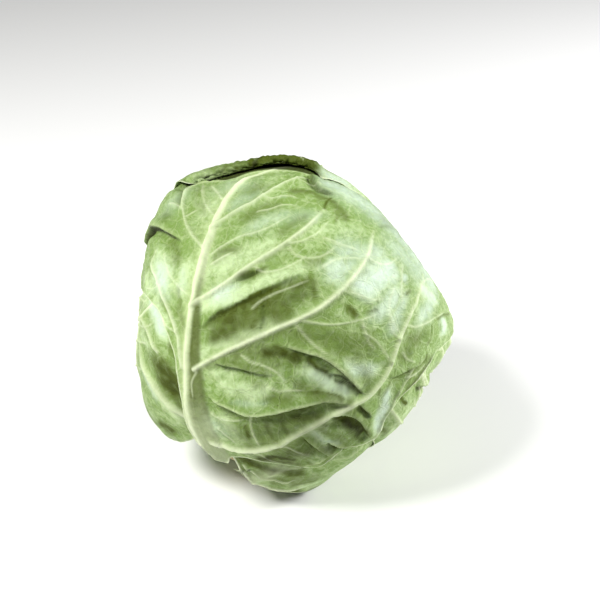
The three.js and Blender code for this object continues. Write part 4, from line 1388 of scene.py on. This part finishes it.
def leaf_paint(name, settings):
    """A waxy leaf: pale ribs, a net of fine veins, a green that deepens away from them, and
    painted light, shade, crease shadow, highlight and sheen from its masks.
    """
    paint = Paint(name)
    chart = paint.layer("chart", "Vector")
    vein, pale, light, deep = (paint.layer(name) for name in ("vein", "pale", "light", "deep"))
    crease, bloom = paint.layer("crease"), paint.layer("bloom")
    base, inset = paint.layer("base"), paint.layer("inset")

    drift = paint.noise(chart, 0.11, 2.0, output="Color")
    bent = paint.shifted(chart, drift, 7.0)
    wide_net = paint.cells(bent, 0.085)
    fine_net = paint.cells(bent, 0.26)
    finest_net = paint.cells(bent, 0.75)
    wide_line = wide_net.ramped(0.0, 0.055, 1.0, 0.0)
    fine_line = fine_net.ramped(0.0, 0.09, 1.0, 0.0)
    finest_line = finest_net.ramped(0.0, 0.16, 1.0, 0.0)
    away = 1.0 - vein

    broad = paint.noise(chart, 0.03, 3.0)
    patchy = paint.noise(bent, 0.12, 4.0, 0.6)
    blotch = paint.noise(bent, 0.4, 3.0, 0.55)
    grain = paint.noise(chart, 1.6, 4.0, 0.65)

    # Painted light from its mask, with random lighter patches and a paler base
    lit = light + broad.ramped(0.42, 0.66) * 0.3 + base * 0.15
    lit = (lit + patchy.ramped(0.4, 0.7, -0.15, 0.22) + blotch.ramped(0.35, 0.65, -0.2, 0.2)).clamped()
    green = paint.mix(lit, settings.leaf_colour, settings.light_colour)
    # Painted sheen from its mask, and random waxy patches
    waxy = (bloom * (0.75 + patchy * 0.3) + patchy.ramped(0.42, 0.25) * 0.15).clamped()
    green = paint.mix(waxy, green, settings.sheen_and_bloom_colour)
    net = (wide_line * 0.2 + fine_line * 0.1 + finest_line * 0.04) * away
    # Pale vein halos and net, with painted highlights along fold lips and rims
    lighter = (pale * 0.7 + net).clamped()
    green = paint.mix(lighter, green, settings.pale_and_highlight_colour)
    # Painted shade from its mask, with random darker mottling
    uneven = blotch.ramped(0.2, 0.8, 0.85, 1.15) + patchy * 0.25
    shade_and_mottle = (deep * uneven + patchy.ramped(0.52, 0.75) * 0.2).clamped()
    green = paint.mix(shade_and_mottle * (1.0 - 0.5 * vein), green, settings.shade_and_mottle_colour)
    pith = vein * (0.6 + base * 0.4 - patchy.ramped(0.45, 0.75) * 0.25)
    colour = paint.mix(pith, green, settings.vein_colour)
    # Painted shade in the creases
    colour = paint.mix(crease, colour, settings.crease_shade_colour)
    edge = inset.ramped(0.0, 1.3, 0.55, 0.0)
    colour = paint.mix(edge, colour, settings.vein_colour)
    fleck = paint.cells(chart, 0.16, "F1").ramped(0.05, 0.09, 1.0, 0.0)
    rare = paint.noise(chart, 0.09, 0.0).ramped(0.6, 0.66)
    colour = paint.mix(fleck * rare * 0.6, colour, settings.fleck_colour)

    roughness = 0.36 + grain * 0.12 + deep * 0.2
    domes = wide_net.ramped(0.0, 0.3) * 0.16 + fine_net.ramped(0.0, 0.3) * 0.07
    threads = wide_line * 0.09 + fine_line * 0.04 + finest_line * 0.02
    height = (domes + threads) * away + grain * 0.05 + patchy * 0.4 + blotch * 0.25
    return paint.finish(
        colour, roughness, height, 0.0015,
        Subsurface_Weight=0.06, Subsurface_Radius=(0.6, 1.0, 0.25), Subsurface_Scale=0.0022,
        Specular_IOR_Level=0.15, IOR=1.42,
    )


def stem_paint(settings):
    """A cut stem: pale in the middle, with rings and threads, and dried brown towards its skin."""
    paint = Paint("cut_stem_flesh")
    place = paint.node("ShaderNodeNewGeometry", {}, {}, "Position")
    across = paint.layer("across")
    grain = paint.noise(place, 900.0, 5.0, 0.6)
    stain = paint.noise(place, 120.0, 3.0)
    spoke = paint.noise(place, 330.0, 3.0, 0.6)
    ring = (across * 34.0 + stain * 5.0).maths_of("SINE").ramped(0.2, 0.9)
    dried = (stain.ramped(0.4, 0.7) * 0.6 + across.ramped(0.45, 0.95) * 0.6).clamped()
    colour = paint.mix(dried, settings.stem_colour, settings.stem_stain)
    colour = paint.mix(ring * 0.3, colour, settings.stem_ring)
    colour = paint.mix(spoke.ramped(0.5, 0.7) * 0.25, colour, settings.stem_ring)
    roughness = 0.6 + grain * 0.2
    height = grain * 0.6 + ring * 0.3 + spoke * 0.3
    return paint.finish(
        colour, roughness, height, 0.0008,
        Subsurface_Weight=0.1, Subsurface_Radius=(1.0, 0.9, 0.5), Subsurface_Scale=0.002,
    )


def finer_copy(node, cuts):
    """A copy of a solid's mesh with each edge cut into more, smooth and without its material."""
    work = bmesh.new()
    work.from_mesh(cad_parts[node].data)
    bmesh.ops.triangulate(work, faces=work.faces[:])
    bmesh.ops.subdivide_edges(work, edges=work.edges[:], cuts=cuts, use_grid_fill=True)
    mesh = bpy.data.meshes.new(node + "_surface")
    work.to_mesh(mesh)
    work.free()
    mesh.shade_smooth()
    return mesh


def vertex_points(mesh):
    points = np.zeros(len(mesh.vertices) * 3, np.float32)
    mesh.vertices.foreach_get("co", points)
    return points.reshape(-1, 3).astype(float)


def write_points(mesh, points):
    mesh.vertices.foreach_set("co", points.astype(np.float32).ravel())
    mesh.update()


def link_piece(thing, node):
    """Puts a piece in the scene, on the frame, in place of its solid."""
    bpy.context.scene.collection.objects.link(thing)
    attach(thing, "root")
    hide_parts(node)


def colour_setting(name, description, default):
    return FloatVectorProperty(
        name=name, description=description, default=default, subtype="COLOR", size=3, min=0, max=1
    )


class CabbageLeafSettings(bpy.types.PropertyGroup):
    vein_height: FloatProperty(
        name="Vein Height", description="How far a side vein stands out of its leaf",
        default=0.0011, unit="LENGTH",
    )
    front_columns: IntProperty(
        name="Front Columns", description="Cells across the front leaf's outer sheet", default=312
    )
    front_rows: IntProperty(
        name="Front Rows", description="Cells along the front leaf's outer sheet", default=272
    )
    columns: IntProperty(name="Columns", description="Cells across the other leaves", default=240)
    rows: IntProperty(name="Rows", description="Cells along the other leaves", default=208)
    leaf_colour: colour_setting("Leaf", "The leaf between its veins", (0.175, 0.275, 0.068))
    # The colour of painted light, and of random lighter patches
    light_colour: colour_setting("Light Leaf", "Its lighter stretches", (0.46, 0.59, 0.31))
    # The colour of painted shade, and of random darker mottling
    shade_and_mottle_colour: colour_setting("Deep Leaf", "Its deeper green", (0.066, 0.092, 0.009))
    # The colour of painted sheen, and of random waxy patches
    sheen_and_bloom_colour: colour_setting("Bloom", "The waxy bloom", (0.52, 0.64, 0.54))
    # The colour of painted shade in creases
    crease_shade_colour: colour_setting("Crease", "The leaf in a fold", (0.022, 0.024, 0.004))
    # The colour of pale vein halos, and of painted highlights on fold lips and rims
    pale_and_highlight_colour: colour_setting("Pale Leaf", "The leaf beside a vein", (0.52, 0.62, 0.33))
    vein_colour: colour_setting("Vein", "The ribs and veins", (0.78, 0.83, 0.60))
    fleck_colour: colour_setting("Fleck", "Small brown flecks", (0.08, 0.07, 0.025))
    stem_colour: colour_setting("Stem", "The flesh of the stem", (0.78, 0.76, 0.52))
    stem_stain: colour_setting("Stem Stain", "Where the cut has dried", (0.55, 0.46, 0.24))
    stem_ring: colour_setting("Stem Ring", "The rings and threads of the cut", (0.36, 0.26, 0.12))

    @property
    def cells(self):
        """Cells across and along a plain leaf."""
        return self.columns, self.rows

    @property
    def front_cells(self):
        """Cells across and along the front leaf."""
        return self.front_columns, self.front_rows


class CabbageStageSettings(bpy.types.PropertyGroup):
    elevation: FloatProperty(
        name="Elevation", description="The camera above the horizon", default=math.radians(30),
        subtype="ANGLE",
    )
    distance: FloatProperty(
        name="Distance", description="The camera from the middle of the head", default=0.75,
        unit="LENGTH",
    )
    view_width: FloatProperty(
        name="View Width", description="What the camera sees across at that distance",
        default=0.3195, unit="LENGTH",
    )
    aim_right: FloatProperty(
        name="Aim Right", description="How far right of the middle it aims", default=0.0053,
        unit="LENGTH",
    )
    aim_up: FloatProperty(
        name="Aim Up", description="How far above the middle it aims", default=0.0133,
        unit="LENGTH",
    )
    key_power: FloatProperty(
        name="Key", description="The light from the front left", default=17.0, unit="POWER"
    )
    fill_power: FloatProperty(
        name="Fill", description="The low light at the right", default=17.0, unit="POWER"
    )
    sky: FloatProperty(name="Sky", description="The light from all round", default=0.08)


class CABBAGE_OT_leaves(bpy.types.Operator):
    """Makes the six outer leaves, outermost first, each under those already made"""

    bl_idname = "cabbage.leaves"
    bl_label = "Outer Leaves"

    def execute(self, context):
        settings = context.scene.cabbage_leaves
        done = []
        for maker in LEAF_MAKERS:
            leaf = maker(settings)
            leaf.settle(done, 0.0 if not done else 1.0)
            thing = leaf.build()
            thing.data.materials.append(leaf_paint(leaf.name + "_skin", settings))
            link_piece(thing, leaf.name)
            done.append(leaf)
        return {"FINISHED"}


class CABBAGE_OT_inner_head(bpy.types.Operator):
    """Makes the tight inner head"""

    bl_idname = "cabbage.inner_head"
    bl_label = "Inner Head"

    def execute(self, context):
        settings = context.scene.cabbage_leaves
        mesh = finer_copy("inner_head", 3)
        points = vertex_points(mesh)
        middle = np.array([0.0, 0.0, CENTRE_HEIGHT * MM])
        away = (points - middle) @ AXES.T
        radius = np.linalg.norm(away, axis=1)
        from_stem = np.arccos(np.clip(-away[:, 2] / radius, -1.0, 1.0))
        longitude = np.arctan2(away[:, 1], away[:, 0])
        wander = Noise(83)(from_stem * 40, longitude * 12, 22.0) * 0.1
        turn = (longitude + wander) * INNER_RIBS / (2 * math.pi)
        off = np.abs(turn - np.round(turn)) * 2 * math.pi / INNER_RIBS
        beside = off * radius * np.sin(from_stem) / MM
        rib = np.exp(-((beside / (2.6 - 1.4 * from_stem / math.pi)) ** 2))
        hills = Noise(89)(away[:, 0] / MM + away[:, 2] / MM, away[:, 1] / MM, 12.0)
        sunk = 0.7 * (1 - rib) + 0.5 * (hills + 1).clip(0, 2)
        radius = radius - sunk * MM
        write_points(mesh, middle + away / np.linalg.norm(away, axis=1)[:, None] * radius[:, None] @ AXES)
        masks = {name: np.zeros(len(points)) for name in (*MASKS, "base")}
        masks["vein"] = 0.8 * rib
        masks["pale"] = 0.6 * np.exp(-beside / 5.0)
        masks["base"] = ramp(0.9, 0.3, from_stem)
        masks["light"] = 0.5 + 0.4 * hills
        for name, values in masks.items():
            layer = mesh.attributes.new(name, "FLOAT", "POINT")
            layer.data.foreach_set("value", values.astype(np.float32))
        inset = np.full(len(points), 40.0, np.float32)
        mesh.attributes.new("inset", "FLOAT", "POINT").data.foreach_set("value", inset)
        chart = (points / MM).astype(np.float32).ravel()
        mesh.attributes.new("chart", "FLOAT_VECTOR", "POINT").data.foreach_set("vector", chart)
        thing = bpy.data.objects.new("inner_head_surface", mesh)
        mesh.materials.append(leaf_paint("inner_head_skin", settings))
        link_piece(thing, "inner_head")
        return {"FINISHED"}


class CABBAGE_OT_stem(bpy.types.Operator):
    """Makes the stub of cut stem"""

    bl_idname = "cabbage.stem"
    bl_label = "Cut Stem"

    def execute(self, context):
        settings = context.scene.cabbage_leaves
        mesh = finer_copy("cut_stem", 4)
        points = vertex_points(mesh)
        away = (points - np.array([0.0, 0.0, CENTRE_HEIGHT * MM])) @ AXES.T / MM
        across = np.hypot(away[:, 0], away[:, 1])
        heading = np.arctan2(away[:, 1], away[:, 0])
        knobs = Noise(97)(heading * 9, away[:, 2], 2.4)
        rough = Noise(101)(away[:, 0], away[:, 1] + away[:, 2], 1.6)
        side = ramp(0.55, 0.9, across / across.max())
        shrink = (0.25 * side * (knobs + 1) + 0.12 * (rough + 1)).clip(0, 1) * MM
        inward = points - points.mean(axis=0)
        inward = inward / np.maximum(np.linalg.norm(inward, axis=1), 1e-9)[:, None]
        write_points(mesh, points - inward * shrink[:, None])
        layer = mesh.attributes.new("across", "FLOAT", "POINT")
        layer.data.foreach_set("value", (across / across.max()).astype(np.float32))
        thing = bpy.data.objects.new("cut_stem_surface", mesh)
        mesh.materials.append(stem_paint(settings))
        link_piece(thing, "cut_stem")
        return {"FINISHED"}


def area_light(name, place, power, colour, target):
    """A round light aimed at the target, at a place given by its elevation and its heading."""
    elevation, heading = (math.radians(angle) for angle in place)
    level = Vector((math.cos(heading), math.sin(heading), 0)) * math.cos(elevation)
    away = level + Vector((0, 0, math.sin(elevation)))
    data = bpy.data.lights.new(name, "AREA")
    data.shape, data.size, data.energy, data.color = "DISK", LIGHT_SIZE, power, colour
    lamp = bpy.data.objects.new(name, data)
    lamp.location = target + away * LIGHT_DISTANCE
    lamp.rotation_euler = (-away).to_track_quat("-Z", "Y").to_euler()
    bpy.context.scene.collection.objects.link(lamp)


class CABBAGE_OT_stage(bpy.types.Operator):
    """Makes the floor, the lights and the camera"""

    bl_idname = "cabbage.stage"
    bl_label = "Stage"

    def execute(self, context):
        settings = context.scene.cabbage_stage
        scene = context.scene
        side, height = FLOOR_REACH, CAD_LOW.z - FLOOR_GAP
        mesh = bpy.data.meshes.new("floor")
        corners = [(-side, -side), (side, -side), (side, side), (-side, side)]
        mesh.from_pydata([(x, y, height) for x, y in corners], [], [(0, 1, 2, 3)])
        floor = bpy.data.objects.new("floor", mesh)
        scene.collection.objects.link(floor)
        white = bpy.data.materials.new("floor_white")
        white.use_nodes = True
        surface = white.node_tree.nodes["Principled BSDF"]
        surface.inputs["Base Color"].default_value = (0.9, 0.9, 0.9, 1)
        surface.inputs["Roughness"].default_value = 0.8
        mesh.materials.append(white)

        world = bpy.data.worlds.new("studio")
        scene.world = world
        world.use_nodes = True
        sky = world.node_tree.nodes["Background"]
        sky.inputs["Color"].default_value = (1, 1, 1, 1)
        sky.inputs["Strength"].default_value = settings.sky

        middle = Vector((0, 0, CENTRE_HEIGHT * MM * HEAD_SCALE))
        area_light("key", KEY_PLACE, settings.key_power, (1, 1, 0.97), middle)
        area_light("fill", FILL_PLACE, settings.fill_power, (1, 1, 1), middle)

        camera_data = bpy.data.cameras.new("camera")
        camera = bpy.data.objects.new("camera", camera_data)
        scene.collection.objects.link(camera)
        up = Vector((0, math.sin(settings.elevation), math.cos(settings.elevation)))
        back = Vector((0, -math.cos(settings.elevation), math.sin(settings.elevation)))
        target = middle + Vector((settings.aim_right, 0, 0)) + up * settings.aim_up
        camera.location = target + back * settings.distance
        camera.rotation_euler = (target - camera.location).to_track_quat("-Z", "Y").to_euler()
        camera_data.angle = 2 * math.atan(settings.view_width / 2 / settings.distance)
        camera_data.clip_start = 0.01
        scene.camera = camera
        scene.view_settings.view_transform = "Standard"
        return {"FINISHED"}


class CABBAGE_PT_panel(bpy.types.Panel):
    """Lists the pieces in the order they are made"""

    bl_idname = "CABBAGE_PT_panel"
    bl_label = "White Cabbage"
    bl_space_type = "VIEW_3D"
    bl_region_type = "UI"
    bl_category = "Cabbage"

    def draw(self, context):
        column = self.layout.column()
        for settings in (context.scene.cabbage_leaves, context.scene.cabbage_stage):
            for name in settings.__annotations__:
                column.prop(settings, name)
        for operator in OPERATORS:
            column.operator(operator.bl_idname)


OPERATORS = (CABBAGE_OT_leaves, CABBAGE_OT_inner_head, CABBAGE_OT_stem, CABBAGE_OT_stage)
CLASSES = (CabbageLeafSettings, CabbageStageSettings, *OPERATORS, CABBAGE_PT_panel)


def register():
    for cls in CLASSES:
        bpy.utils.register_class(cls)
    bpy.types.Scene.cabbage_leaves = PointerProperty(type=CabbageLeafSettings)
    bpy.types.Scene.cabbage_stage = PointerProperty(type=CabbageStageSettings)


def unregister():
    del bpy.types.Scene.cabbage_leaves
    del bpy.types.Scene.cabbage_stage
    for cls in reversed(CLASSES):
        bpy.utils.unregister_class(cls)


def main():
    register()
    bpy.ops.cabbage.leaves()
    bpy.ops.cabbage.inner_head()
    bpy.ops.cabbage.stem()
    bpy.ops.cabbage.stage()


if __name__ == "__main__":
    main()
